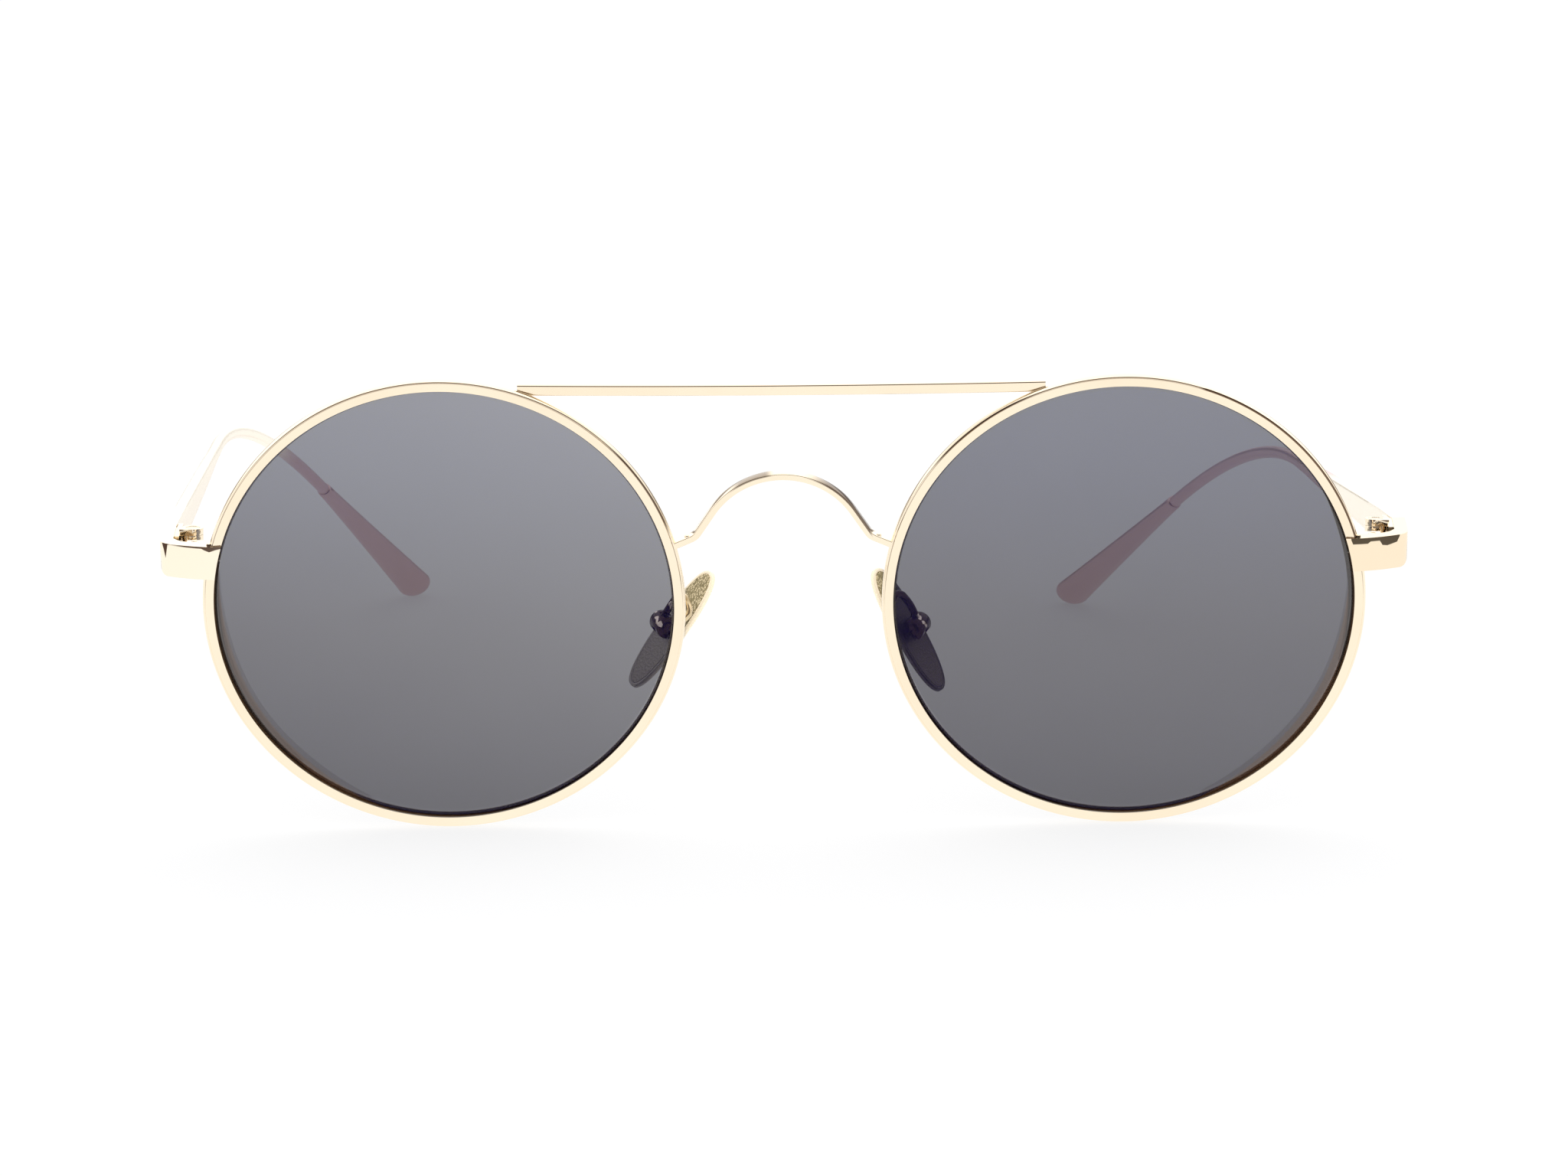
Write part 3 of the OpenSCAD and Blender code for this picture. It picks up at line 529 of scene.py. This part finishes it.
def bridge_tint(s, spot, cloud, tint):
    """Brown reflections on the outside of the arch, left of its top and down its right side"""
    f = bpy.context.scene.front_sizes
    across, up = s.front(spot)
    up = up - f.arch_v
    radius = (across * across + up * up).root()
    leg = across.size() * math.sin(BRIDGE_LEG) + up * math.cos(BRIDGE_LEG)
    on_leg = s.clamped(across.size(), 7.9, 8.0)
    out = on_leg * leg + (1 - on_leg) * radius - f.arch_r
    left = s.band(-1 * across, 0.8, 2.0, 4.6, 6.4)
    right = s.band(across, 2.0, 5.5, 9.7, 10.2)
    shade = s.clamped(out, 0.14, 0.2) * (left * 0.8).top(right)
    return s.mix(shade * (0.7 + 0.4 * cloud), tint, ARCH_BROWN)


TINTS = {"temple_gold": temple_tint, "rim_gold": rim_tint, "left_end_gold": left_end_tint,
         "right_end_gold": right_end_tint, "bar_gold": bar_tint, "bridge_gold": bridge_tint}


def polished_gold(name="polished_gold"):
    """Champagne gold plate over polished metal: fine grain, faint clouds and wipe marks"""
    if name in bpy.data.materials:
        return bpy.data.materials[name]
    material, s = new_shader(name)
    spot = s.spot()
    cloud = s.noise(spot, 60.0)
    grain = s.noise(spot, 5200.0, 2.0)
    wipes = s.noise(s.node("ShaderNodeMapping", None, Vector=spot, Scale=(2600.0, 260.0, 2600.0)), 1.0, 2.0)
    tint = s.mix(s.clamped(cloud, 0.35, 0.7), tuple(bpy.context.scene.finish.gold), GOLD_CLOUD)
    rough = 0.085 + 0.05 * cloud + 0.05 * s.clamped(wipes, 0.5, 0.8)
    height = 0.5 * grain + 0.5 * wipes
    # Some copies take a tint that paints reflections and light into the gold
    if name in TINTS:
        tint = TINTS[name](s, spot, cloud, tint)
    if name == "temple_gold":
        # A softer polish
        rough = rough + 0.2
        height = 0.04 * height
    s.surface(Base_Color=tint, Metallic=1.0, Roughness=rough, Normal=s.bump(height, 0.12, 0.00001))
    return material


# Nose pads and lenses

BRONZE_DARK, BRONZE_LIGHT = (0.36, 0.27, 0.15), (0.75, 0.60, 0.38)
# Painted shade and painted glints of the pad boxes past the rims
BOX_SHADED, BOX_PAINTED_GLINT = (0.060, 0.034, 0.028), (1.0, 0.86, 0.80)
PLATE_HOLLOW, PLATE_TURNED = (0.25, 0.20, 0.10), (0.25, 0.20, 0.09)
# Painted shade of the pad plates past the rims
SHADED_PLATE_LEFT = (0.36, 0.335, 0.30)
SHADED_PLATE_RIGHT, SHADED_PLATE_RIGHT_FOOT = (0.09, 0.074, 0.062), (0.21, 0.18, 0.165)
# Colours of the soft pads: a haze of their own, a painted glow in the gap for the nose and painted shade past
# the rims
PAD_HAZE, PAD_PAINTED_GLOW, NO_GLOW = (0.95, 0.86, 0.66), (0.26, 0.20, 0.12), (0.0, 0.0, 0.0)
SHADED_PAD_LEFT, SHADED_PAD_RIGHT = (0.75, 0.70, 0.62), (0.20, 0.17, 0.15)

LENS_R = 26.0  # radius of the glass that shows inside a rim, in mm
# Colours of the lenses; the crescent and the widened seat are painted shade
LENS_TOP, LENS_CRESCENT_SHADE = (0.003, 0.010, 0.075), (0.07, 0.03, 0.015)
LENS_JOINT_AND_SHADE, LENS_BROWN = (0.022, 0.012, 0.009), (0.16, 0.085, 0.04)
# Direction in which the seat shows wider and its share of the radius, opacity at the foot, how much
# of it is lost toward the top, and its slope across in 1/mm
LENS_SIDES = {-1: ((-0.94, -0.342), (0.80, 0.95), 0.596, 0.155, 0.0009),
              1: ((0.99, 0.08), (0.86, 0.97), 0.610, 0.108, 0.0)}


def bronze():
    """Metal of the pad boxes, their arms and screws: olive gold in the gap for the nose, painted dark with
    shade and small painted glints past it
    """
    if "bronze" in bpy.data.materials:
        return bpy.data.materials["bronze"]
    material, s = new_shader("bronze")
    spot = s.spot()
    x, _, _ = s.parts(spot)
    cloud = s.noise(spot, 700.0)
    tint = s.mix(s.clamped(cloud, 0.35, 0.65), BRONZE_DARK, BRONZE_LIGHT)
    # Past the rims the metal is painted dark as shade, with small painted glints
    glint = s.clamped(s.noise(spot, 800.0, 1.0), 0.62, 0.65)
    tint = s.mix(s.past_rim(x), tint, s.mix(glint, BOX_SHADED, BOX_PAINTED_GLINT))
    s.surface(Base_Color=tint, Metallic=1.0, Roughness=0.12 + 0.1 * cloud,
              Normal=s.bump(s.noise(spot, 3000.0, 2.0), 0.25, 0.00002))
    return material


def grained_gold():
    """Pale gold of the pad plates: a fine pebbled grain, painted in shade past the rims"""
    if "grained_gold" in bpy.data.materials:
        return bpy.data.materials["grained_gold"]
    material, s = new_shader("grained_gold")
    spot = s.spot()
    x, _, z = s.parts(spot)
    pebbles = s.node("ShaderNodeTexVoronoi", {"feature": "F1"}, Vector=spot, Scale=3600.0)
    fine = s.noise(spot, 4200.0)
    tint = s.mix(s.clamped(pebbles, 0.2, 0.7), tuple(bpy.context.scene.finish.pale), PLATE_HOLLOW)
    # Darker toward the rim, where the plate turns away from the light
    tint = s.mix(s.clamped(x.size(), 0.0094, 0.0122) * 0.6, tint, PLATE_TURNED)
    # Past the rims the plates are painted in shade: lighter on the left, darker on the right and lighter
    # toward the right one's foot
    low = 1 - s.clamped(z, 0.016, 0.024)
    right = s.mix(low, SHADED_PLATE_RIGHT, SHADED_PLATE_RIGHT_FOOT)
    tint = s.mix(s.past_rim(x), tint, s.mix(s.right_side(x), SHADED_PLATE_LEFT, right))
    s.surface(Base_Color=tint, Metallic=1.0, Roughness=0.34 + 0.2 * fine,
              Normal=s.bump(pebbles * 0.7 + fine * 0.3, 0.9, 0.0001))
    return material


def clear_pad():
    """Clear silicone of the nose pads, with a painted glow in the gap for the nose and painted shade past the
    rims
    """
    if "clear_pad" in bpy.data.materials:
        return bpy.data.materials["clear_pad"]
    material, s = new_shader("clear_pad")
    spot = s.spot()
    x, _, _ = s.parts(spot)
    haze = s.noise(spot, 500.0)
    tint = s.mix(haze, tuple(bpy.context.scene.finish.pad), PAD_HAZE)
    # Past the rims the silicone is painted in shade, lighter on the left than on the right
    tint = s.mix(s.past_rim(x), tint, s.mix(s.right_side(x), SHADED_PAD_LEFT, SHADED_PAD_RIGHT))
    # The gap for the nose gets a painted glow
    s.surface(Base_Color=tint, Roughness=0.12 + 0.08 * haze, Alpha=0.84 + 0.06 * haze, IOR=1.41,
              Emission_Color=s.mix(s.past_rim(x), PAD_PAINTED_GLOW, NO_GLOW), Emission_Strength=1.0,
              Normal=s.bump(s.noise(spot, 900.0, 2.0), 0.1, 0.00002))
    return material


def smoke_lens(name, side):
    """Smoke grey lens: lighter toward its top, with the dark seat of its bevel at the edge, widened with
    painted shade, and a faint painted brown crescent of shade inside it
    """
    material, s = new_shader(name)
    spot = s.spot()
    across, up = s.front(spot)
    across = across - side * bpy.context.scene.front_sizes.rim_x
    radius = (across * across + up * up).root()
    toward, (start, full), deep, fall, slope = LENS_SIDES[side]
    # The seat is a thin dark joint, widened with painted shade where the glass sits back in the rim
    wide = s.clamped((toward[0] * across + toward[1] * up) / LENS_R, start, full)
    seat = s.clamped(radius + 0.6 * wide, 25.93, 26.0)
    brown = s.clamped(side * across - up, 14.0, 30.0) * s.clamped(radius, 25.94, 26.0)
    # A faint brown crescent of painted shade lies inside the edge, low on the outer side
    low_outer = s.clamped((side * 0.87 * across - 0.49 * up) / LENS_R, 0.70, 0.95)
    crescent = s.clamped(radius + 1.2 * low_outer, 25.84, 25.96) * s.clamped(low_outer, 0.02, 0.2)
    tone = s.node("ShaderNodeMapRange", None, up, -24.0, 24.0, 0.0, 1.0)
    smudge = s.noise(spot, 90.0, 4.0)
    alpha = deep - fall * tone + 0.014 * smudge - slope * across + 0.085 * crescent
    alpha = alpha.top(seat * (0.82 - 0.1 * wide)).top(0.93 * s.clamped(radius, 25.98, 26.02))
    tint = s.mix(s.clamped(up, -6.0, 22.0), tuple(bpy.context.scene.finish.smoke), LENS_TOP)
    for factor, tone in ((crescent, LENS_CRESCENT_SHADE), (seat, LENS_JOINT_AND_SHADE), (brown, LENS_BROWN)):
        tint = s.mix(factor, tint, tone)
    s.surface(Base_Color=tint, Roughness=0.03 + 0.03 * smudge, Alpha=alpha, IOR=1.2)
    return material


# Pieces of the front

def rim_section(f):
    """Half section of the rim wire, radius and depth in mm, from the front lip round the outside"""
    inner, depth = f.rim_inner, f.rim_depth
    face, rear = inner + f.rim_face, inner - f.rear_lip
    groove = inner + GROOVE_SHARE * f.rim_face
    outer = [(face - r, t) for r, t in WIRE_ROUND] + [(face, WIRE_EDGE)]
    for i in range(1, BULGE_STEPS):
        a = math.pi * i / BULGE_STEPS
        outer.append((face + f.rim_bulge * math.sin(a),
                      WIRE_EDGE + (depth - 2 * WIRE_EDGE) * (1 - math.cos(a)) / 2))
    outer += [(face, depth - WIRE_EDGE)] + [(face - r, depth - t) for r, t in reversed(WIRE_ROUND)]
    behind = [(rear + LIP_EDGE, depth), (rear + LIP_ROUND, depth - LIP_ROUND), (rear, depth - LIP_EDGE),
              (rear, depth - LIP)]
    bottom = [(groove, (depth + GROOVE_FLAT) / 2), (groove, (depth - GROOVE_FLAT) / 2)]
    before = [(inner, LIP), (inner, LIP_EDGE), (inner + LIP_ROUND, LIP_ROUND), (inner + LIP_EDGE, 0)]
    return outer + behind + bottom + before


class SUNGLASSES_OT_rims(bpy.types.Operator):
    """Spin the two rims, each split behind its endpiece"""
    bl_idname = "sunglasses.rims"
    bl_label = "Rims"

    def execute(self, context):
        f = context.scene.front_sizes
        section = [(r, t, 0) for r, t in rim_section(f)]
        slit = SLIT / f.rim_inner
        start = math.asin(f.end_v / (f.rim_inner + f.rim_face / 2)) + slit / 2
        for name, side in SIDES:
            stations = []
            for i in range(RIM_STEPS + 1):
                a = start + (2 * math.pi - slit) * i / RIM_STEPS
                stations.append((Matrix.Translation((f.rim_x, 0, 0)) @ Matrix.Rotation(-a, 4, "Y"), section))
            finish_piece(name + "_rim_wire", sweep(stations), polished_gold("rim_gold"), "front",
                         (name + "_rim",), front_matrix() @ sided(side), sharp=28)
        return {"FINISHED"}


class SUNGLASSES_OT_lenses(bpy.types.Operator):
    """Give the two flat lenses their smoke tint"""
    bl_idname = "sunglasses.lenses"
    bl_label = "Lenses"

    def execute(self, context):
        for name, side in SIDES:
            look = smoke_lens(name + "_smoke", side)
            for slot in bpy.data.objects[name + "_lens"].material_slots:
                slot.material = look
        return {"FINISHED"}


class SUNGLASSES_OT_brow_bar(bpy.types.Operator):
    """Make the straight brow bar with its solder beads"""
    bl_idname = "sunglasses.brow_bar"
    bl_label = "Brow bar"

    def execute(self, context):
        f = context.scene.front_sizes
        section = [(0, t, v) for t, v in rounded_box(0, f.brow_thick, -f.brow_face, 0, BROW_ROUND)]
        stations = []
        for i in range(BROW_STEPS + 1):
            along = 2 * i / BROW_STEPS - 1
            top = f.brow_top - f.brow_dip * (1 - along * along)
            stations.append((Matrix.Translation((f.brow_half * along, f.brow_back, top)), section))
        bm = sweep(stations)
        for s in (-1, 1):
            bead(bm, (s * (f.brow_half + 0.02), f.brow_back + 0.3, f.brow_top - f.brow_face + 0.1),
                 BROW_BEAD)
        finish_piece("brow_bar_wire", bm, polished_gold("bar_gold"), "front", ("brow_bar",),
                     front_matrix(), sharp=50)
        return {"FINISHED"}


class SUNGLASSES_OT_bridge(bpy.types.Operator):
    """Make the arched bridge strip with its feet and solder beads"""
    bl_idname = "sunglasses.bridge"
    bl_label = "Bridge"

    def execute(self, context):
        f = context.scene.front_sizes
        leg = (BRIDGE_FOOT - f.arch_r * math.sin(BRIDGE_LEG)) / math.cos(BRIDGE_LEG)
        low = f.arch_v + f.arch_r * math.cos(BRIDGE_LEG) - leg * math.sin(BRIDGE_LEG)
        half = []
        for i in range(ARCH_STEPS + 1):
            a = BRIDGE_LEG * i / ARCH_STEPS
            half.append((f.arch_r * math.sin(a), f.arch_v + f.arch_r * math.cos(a)))
        half += [(BRIDGE_FOOT + x, low + z) for x, z in FOOT_PATH] + [(FOOT_END[0], low + FOOT_END[1])]
        path = [(-x, z) for x, z in reversed(half[1:])] + half
        section = [(x, y, 0) for x, y in
                   rounded_box(-f.bridge_w / 2, f.bridge_w / 2, 0, f.bridge_d, BRIDGE_ROUND)]
        stations = []
        for i, (x, z) in enumerate(path):
            ahead = Vector(path[min(i + 1, len(path) - 1)]) - Vector(path[max(i - 1, 0)])
            turn = math.pi / 2 - math.atan2(ahead[1], ahead[0])
            at = Matrix.Translation((x, BRIDGE_BACK, z))
            stations.append((at @ Matrix.Rotation(turn, 4, "Y"), section))
        bm = sweep(stations)
        for s in (-1, 1):
            bead(bm, (s * (BRIDGE_FOOT + 0.9), 0.55, low + 0.1), BRIDGE_BEAD)
        finish_piece("nose_bridge_strip", bm, polished_gold("bridge_gold"), "front",
                     ("nose_bridge",), front_matrix(), sharp=50)
        return {"FINISHED"}


class SUNGLASSES_OT_endpieces(bpy.types.Operator):
    """Dress the two endpieces with rounded edges"""
    bl_idname = "sunglasses.endpieces"
    bl_label = "Endpieces"

    def execute(self, context):
        for name, _ in SIDES:
            bm = rounded(name + "_endpiece", ENDPIECE_ROUND, 4)
            weighted(finish_piece(name + "_endpiece_plate", bm, polished_gold(name + "_end_gold"),
                                  "front", (name + "_endpiece",)))
        return {"FINISHED"}


class SUNGLASSES_OT_fittings(bpy.types.Operator):
    """Dress the rim locks, hinges, screws and pad boxes with rounded edges"""
    bl_idname = "sunglasses.fittings"
    bl_label = "Locks, hinges and boxes"

    def execute(self, context):
        for name, _ in SIDES:
            for part, body, width in FITTINGS:
                node = name + "_" + part
                bm = rounded(node, width) if width else rounded(node, FINE_ROUND, 1)
                look = bronze() if part.startswith("pad") else polished_gold()
                weighted(finish_piece(node + "_metal", bm, look,
                                      body if body == "front" else name + "_temple", (node,)))
        return {"FINISHED"}


# Temples

class SUNGLASSES_OT_temples(bpy.types.Operator):
    """Sweep the two temples from flat root to round wire"""
    bl_idname = "sunglasses.temples"
    bl_label = "Temples"

    def execute(self, context):
        t = context.scene.temple_sizes

        def section(high, square):
            """Round for 0, close to a rectangle for 1"""
            points = []
            n = 2 + 7 * square
            for j in range(TEMPLE_SIDES):
                a = 2 * math.pi * (j + 0.5) / TEMPLE_SIDES
                c, s = math.cos(a), math.sin(a)
                k = (abs(c) ** n + abs(s) ** n) ** (-1 / n)
                points.append((t.thick / 2 * c * k, 0, high / 2 * s * k))
            return points

        wire = section(t.thick, 0)
        unroll = Matrix.Rotation(math.radians(90 - t.turn_in), 4, "Y")
        for name, side in SIDES:
            base = hinge_matrix(side) @ Matrix.Translation((t.bar_x, 0, 0))
            flat = ROOT_STATIONS[-1]
            stations = [(base @ Matrix.Translation((0, y, 0)), section(t.root_h, 1)) for y in ROOT_STATIONS]
            for i in range(1, TAPER_STEPS + 1):
                k = i / TAPER_STEPS
                stations.append((base @ Matrix.Translation((0, flat + (t.straight - flat) * k, 0)),
                                 section(t.root_h + (t.thick - t.root_h) * k, max(0, 1 - 1.15 * k))))
            bend = ear_bend(side)
            for i in range(1, BEND_STEPS + 1):
                stations.append((bend_matrix(side, bend * i / BEND_STEPS) @ unroll, wire))
            end = bend_matrix(side, bend) @ Matrix.Translation((0, CORE_LENGTH, 0))
            stations.append((end @ unroll, wire))
            weighted(finish_piece(name + "_temple_wire", sweep(stations), polished_gold("temple_gold"),
                                  name + "_temple", (name + "_temple_bar",), sharp=50))
        return {"FINISHED"}


class SUNGLASSES_OT_tips(bpy.types.Operator):
    """Sweep the two oval temple tips"""
    bl_idname = "sunglasses.tips"
    bl_label = "Temple tips"

    def execute(self, context):
        t = context.scene.temple_sizes
        half_t, half_w = t.tip_t / 2, t.tip_w / 2

        def oval(a, b):
            turns = [2 * math.pi * j / TEMPLE_SIDES for j in range(TEMPLE_SIDES)]
            return [(a * math.cos(turn), 0, b * math.sin(turn)) for turn in turns]

        for name, side in SIDES:
            base = bend_matrix(side, ear_bend(side))
            long = t.tip_l - TIP_END
            rings = [(y, r, r) for y, r in TIP_EDGE]
            for i in range(TIP_STEPS + 1):
                k = i / TIP_STEPS
                grown = k ** 1.15
                rings.append((TIP_START + (long - TIP_START) * k, TIP_RADIUS + (half_t - TIP_RADIUS) * grown,
                              TIP_RADIUS + (half_w - TIP_RADIUS) * grown))
            for i in range(1, TIP_END_STEPS + 1):
                a = math.radians(TIP_END_ANGLE * i / TIP_END_STEPS)
                rings.append((long + TIP_END * math.sin(a), half_t * math.cos(a), half_w * math.cos(a)))
            bm = sweep([(base @ Matrix.Translation((0, y, 0)), oval(a, b)) for y, a, b in rings])
            finish_piece(name + "_tip_sleeve", bm, polished_gold("temple_gold"), name + "_temple",
                         (name + "_temple_tip",), sharp=45)
        return {"FINISHED"}


# Nose pads

class SUNGLASSES_OT_pads(bpy.types.Operator):
    """Make the nose pads: soft pads with grained plates in them"""
    bl_idname = "sunglasses.pads"
    bl_label = "Nose pads"

    def execute(self, context):
        p = context.scene.pad_sizes

        def oval(x, inset):
            points = []
            for j in range(PAD_SIDES):
                a = 2 * math.pi * j / PAD_SIDES
                c, s = math.cos(a), math.sin(a)
                points.append((x, (p.width / 2 - inset) * math.copysign(abs(c) ** PAD_POWER, c),
                               (p.length / 2 - inset) * math.copysign(abs(s) ** PAD_POWER, s)))
            return points

        # Distance behind the pad's back, toward the nose, and inset from its outline
        soft = [(PLATE_THICK + 0.02, PAD_BORDER + 0.03), (0.04, PAD_BORDER), (0.01, PAD_BORDER - 0.06),
                (0, 0.2), (0.03, 0.08), (0.12, 0.02), (p.thick / 2, 0.0), (p.thick - 0.25, 0.12),
                (p.thick - 0.08, 0.35), (p.thick, 0.7), (p.thick + 0.1, 1.5), (p.thick + 0.13, 2.4)]
        plate = [(PLATE_THICK, PAD_BORDER + 0.02), (0.06, PAD_BORDER + 0.02), (0.01, PAD_BORDER + 0.06),
                 (0, PAD_BORDER + 0.12), (0, PAD_BORDER + 0.8), (0, PAD_BORDER + 1.4)]
        for name, side in SIDES:
            place, body = pad_matrix(side), name + "_pad"
            bm = sweep([(place, oval(-PAD_FACE - x, inset)) for x, inset in soft])
            finish_piece(name + "_pad_soft", bm, clear_pad(), body, (name + "_nose_pad",), sharp=60)
            bm = sweep([(place, oval(-PAD_FACE - x, inset)) for x, inset in plate])
            finish_piece(name + "_pad_plate", bm, grained_gold(), body)
            # The lug is the core's own shape above the plate
            bm = rounded(name + "_pad_core", FINE_ROUND, 1)
            bmesh.ops.bisect_plane(bm, geom=bm.verts[:] + bm.edges[:] + bm.faces[:], dist=1e-8,
                                   plane_co=place @ Vector((0.004 - PAD_FACE, 0, 0)),
                                   plane_no=(place.to_3x3() @ Vector((1, 0, 0))).normalized(),
                                   clear_inner=True)
            weighted(finish_piece(name + "_pad_lug", bm, grained_gold(), body,
                                  (name + "_pad_core",)))
        return {"FINISHED"}


# The studio

FLOOR_SIZE, FLOOR_Z = 4.0, -0.00005  # in m; just below the part
FLOOR_TONES = ((0.965, 0.965, 0.968), (0.955, 0.955, 0.96))
FLOOR_SEEN, FLOOR_GLOW, FLOOR_MIRRORED = 0.73, 1.045, 1.1  # share of glow in the floor, and strengths
WALL, CEILING, DARK_STRETCH = (1.2, 1.2, 1.2), (1.5, 1.5, 1.5), (0.10, 0.06, 0.04)
SKY, BACKDROP, WHITE = (0.93, 0.935, 0.95), (1, 1, 1), (1.0, 1.0, 1.0, 1.0)
LAMP_PLACE, LAMP_SIZE, LAMP_ENERGY = (0.15, 0.15, 0.95), 0.9, 1.3
LAMP_COLOUR = (1.0, 0.985, 0.96)

SENSOR = 36.0
PICTURE_WIDTH, PX_PER_MM = 2048, 11.47
CAMERA_DISTANCE, CAMERA_TARGET_Z = 700, 27.71  # in mm
CAMERA_UP, CAMERA_YAW, CAMERA_ROLL = math.radians(11.5), math.radians(0.6), math.radians(-0.55)


def floor_look():
    """Pale floor: white to the camera with soft shadows, even brighter in the metal's mirror"""
    material, s = new_shader("floor_white")
    lit = s.node("ShaderNodeBsdfDiffuse", None, s.mix(s.noise(s.spot(), 3.0), *FLOOR_TONES))
    glow = s.node("ShaderNodeEmission", None, WHITE, FLOOR_GLOW)
    bright = s.node("ShaderNodeEmission", None, WHITE, FLOOR_MIRRORED)
    pale = s.node("ShaderNodeMixShader", None, FLOOR_SEEN, lit, glow)
    seen = s.node("ShaderNodeMixShader", None, s.source("ShaderNodeLightPath", "Is Camera Ray"), lit, pale)
    seen = s.node("ShaderNodeMixShader", None, s.source("ShaderNodeLightPath", "Is Glossy Ray"), seen, bright)
    s.node("ShaderNodeOutputMaterial", None, seen)
    return material


def studio_light():
    """Metal sees bright walls, a brighter ceiling, a dark stretch in front and a dim strip at the back"""
    world = bpy.data.worlds.new("studio_light")
    s = Shader(world)
    x, y, z = s.parts(s.source("ShaderNodeTexCoord", "Generated"))
    in_front = s.clamped(-1 * y, 0.3, 0.55) * s.band(z, -0.02, 0.06, 0.6, 0.72)
    low_back = s.clamped(y, 0.2, 0.5) * s.band(z, 0.02, 0.1, 0.2, 0.3) * s.clamped(x.size(), 0.16, 0.34)
    dim = (in_front * 0.92).top(low_back * 0.8)
    mirrored = s.mix(dim, s.mix(s.clamped(z, 0.1, 0.34), WALL, CEILING), DARK_STRETCH)
    plain = s.mix(s.source("ShaderNodeLightPath", "Is Glossy Ray"), SKY, mirrored)
    shown = s.mix(s.source("ShaderNodeLightPath", "Is Camera Ray"), plain, BACKDROP)
    s.node("ShaderNodeOutputWorld", None, s.node("ShaderNodeBackground", None, shown, 1.0))
    return world


class SUNGLASSES_OT_stage(bpy.types.Operator):
    """Set up the pale floor, the soft studio light and the camera"""
    bl_idname = "sunglasses.stage"
    bl_label = "Stage"

    def execute(self, context):
        scene = context.scene
        scene.view_settings.view_transform = "Standard"

        bm = bmesh.new()
        bmesh.ops.create_grid(bm, x_segments=2, y_segments=2, size=FLOOR_SIZE)
        mesh = bpy.data.meshes.new("studio_floor")
        bm.to_mesh(mesh)
        bm.free()
        mesh.materials.append(floor_look())
        floor = bpy.data.objects.new("studio_floor", mesh)
        scene.collection.objects.link(floor)
        floor.location.z = FLOOR_Z

        scene.world = studio_light()
        light = bpy.data.lights.new("softbox", "AREA")
        light.shape = "RECTANGLE"
        light.size, light.size_y = LAMP_SIZE, LAMP_SIZE
        light.energy = LAMP_ENERGY
        light.color = LAMP_COLOUR
        lamp = bpy.data.objects.new("softbox", light)
        lamp.location = LAMP_PLACE
        lamp.rotation_euler = (-lamp.location).to_track_quat("-Z", "Y").to_euler()
        scene.collection.objects.link(lamp)
        lamp.visible_glossy = False

        data = bpy.data.cameras.new("camera")
        data.sensor_width = SENSOR
        data.lens = PX_PER_MM * CAMERA_DISTANCE / PICTURE_WIDTH * SENSOR
        data.clip_start, data.clip_end = 0.01, 20.0
        camera = bpy.data.objects.new("camera", data)
        level = math.cos(CAMERA_UP)
        back = Vector((math.sin(CAMERA_YAW) * level, -math.cos(CAMERA_YAW) * level, math.sin(CAMERA_UP)))
        right = (-back).cross(Vector((0, 0, 1))).normalized()
        up = right.cross(-back)
        c, s = math.cos(CAMERA_ROLL), math.sin(CAMERA_ROLL)
        turn = Matrix((c * right + s * up, c * up - s * right, back)).transposed().to_4x4()
        target = Vector((0, scene.front_sizes.contact_y, CAMERA_TARGET_Z)) * MM
        camera.matrix_world = Matrix.Translation(target + CAMERA_DISTANCE * MM * back) @ turn
        scene.collection.objects.link(camera)
        scene.camera = camera
        return {"FINISHED"}


class SUNGLASSES_PT_panel(bpy.types.Panel):
    """Steps that build the sunglasses"""
    bl_label = "Sunglasses"
    bl_idname = "SUNGLASSES_PT_panel"
    bl_space_type = "VIEW_3D"
    bl_region_type = "UI"
    bl_category = "Sunglasses"

    def draw(self, context):
        for operator in STEPS:
            self.layout.operator(operator.bl_idname)
        for name, group in GROUPS:
            box = self.layout.box()
            for key in group.__annotations__:
                box.prop(getattr(context.scene, name), key)


STEPS = (SUNGLASSES_OT_stage, SUNGLASSES_OT_rims, SUNGLASSES_OT_lenses, SUNGLASSES_OT_brow_bar,
         SUNGLASSES_OT_bridge, SUNGLASSES_OT_endpieces, SUNGLASSES_OT_fittings, SUNGLASSES_OT_temples,
         SUNGLASSES_OT_tips, SUNGLASSES_OT_pads)
GROUPS = (("front_sizes", FrontSizes), ("temple_sizes", TempleSizes), ("pad_sizes", PadSizes),
          ("finish", Finish))


def register():
    for _, group in GROUPS:
        bpy.utils.register_class(group)
    for name, group in GROUPS:
        setattr(bpy.types.Scene, name, PointerProperty(type=group))
    for cls in STEPS + (SUNGLASSES_PT_panel,):
        bpy.utils.register_class(cls)


def unregister():
    for cls in (SUNGLASSES_PT_panel,) + STEPS[::-1]:
        bpy.utils.unregister_class(cls)
    for name, group in GROUPS:
        delattr(bpy.types.Scene, name)
        bpy.utils.unregister_class(group)


def main():
    register()
    for step in STEPS:
        group, name = step.bl_idname.split(".")
        getattr(getattr(bpy.ops, group), name)()


if __name__ == "__main__":
    main()
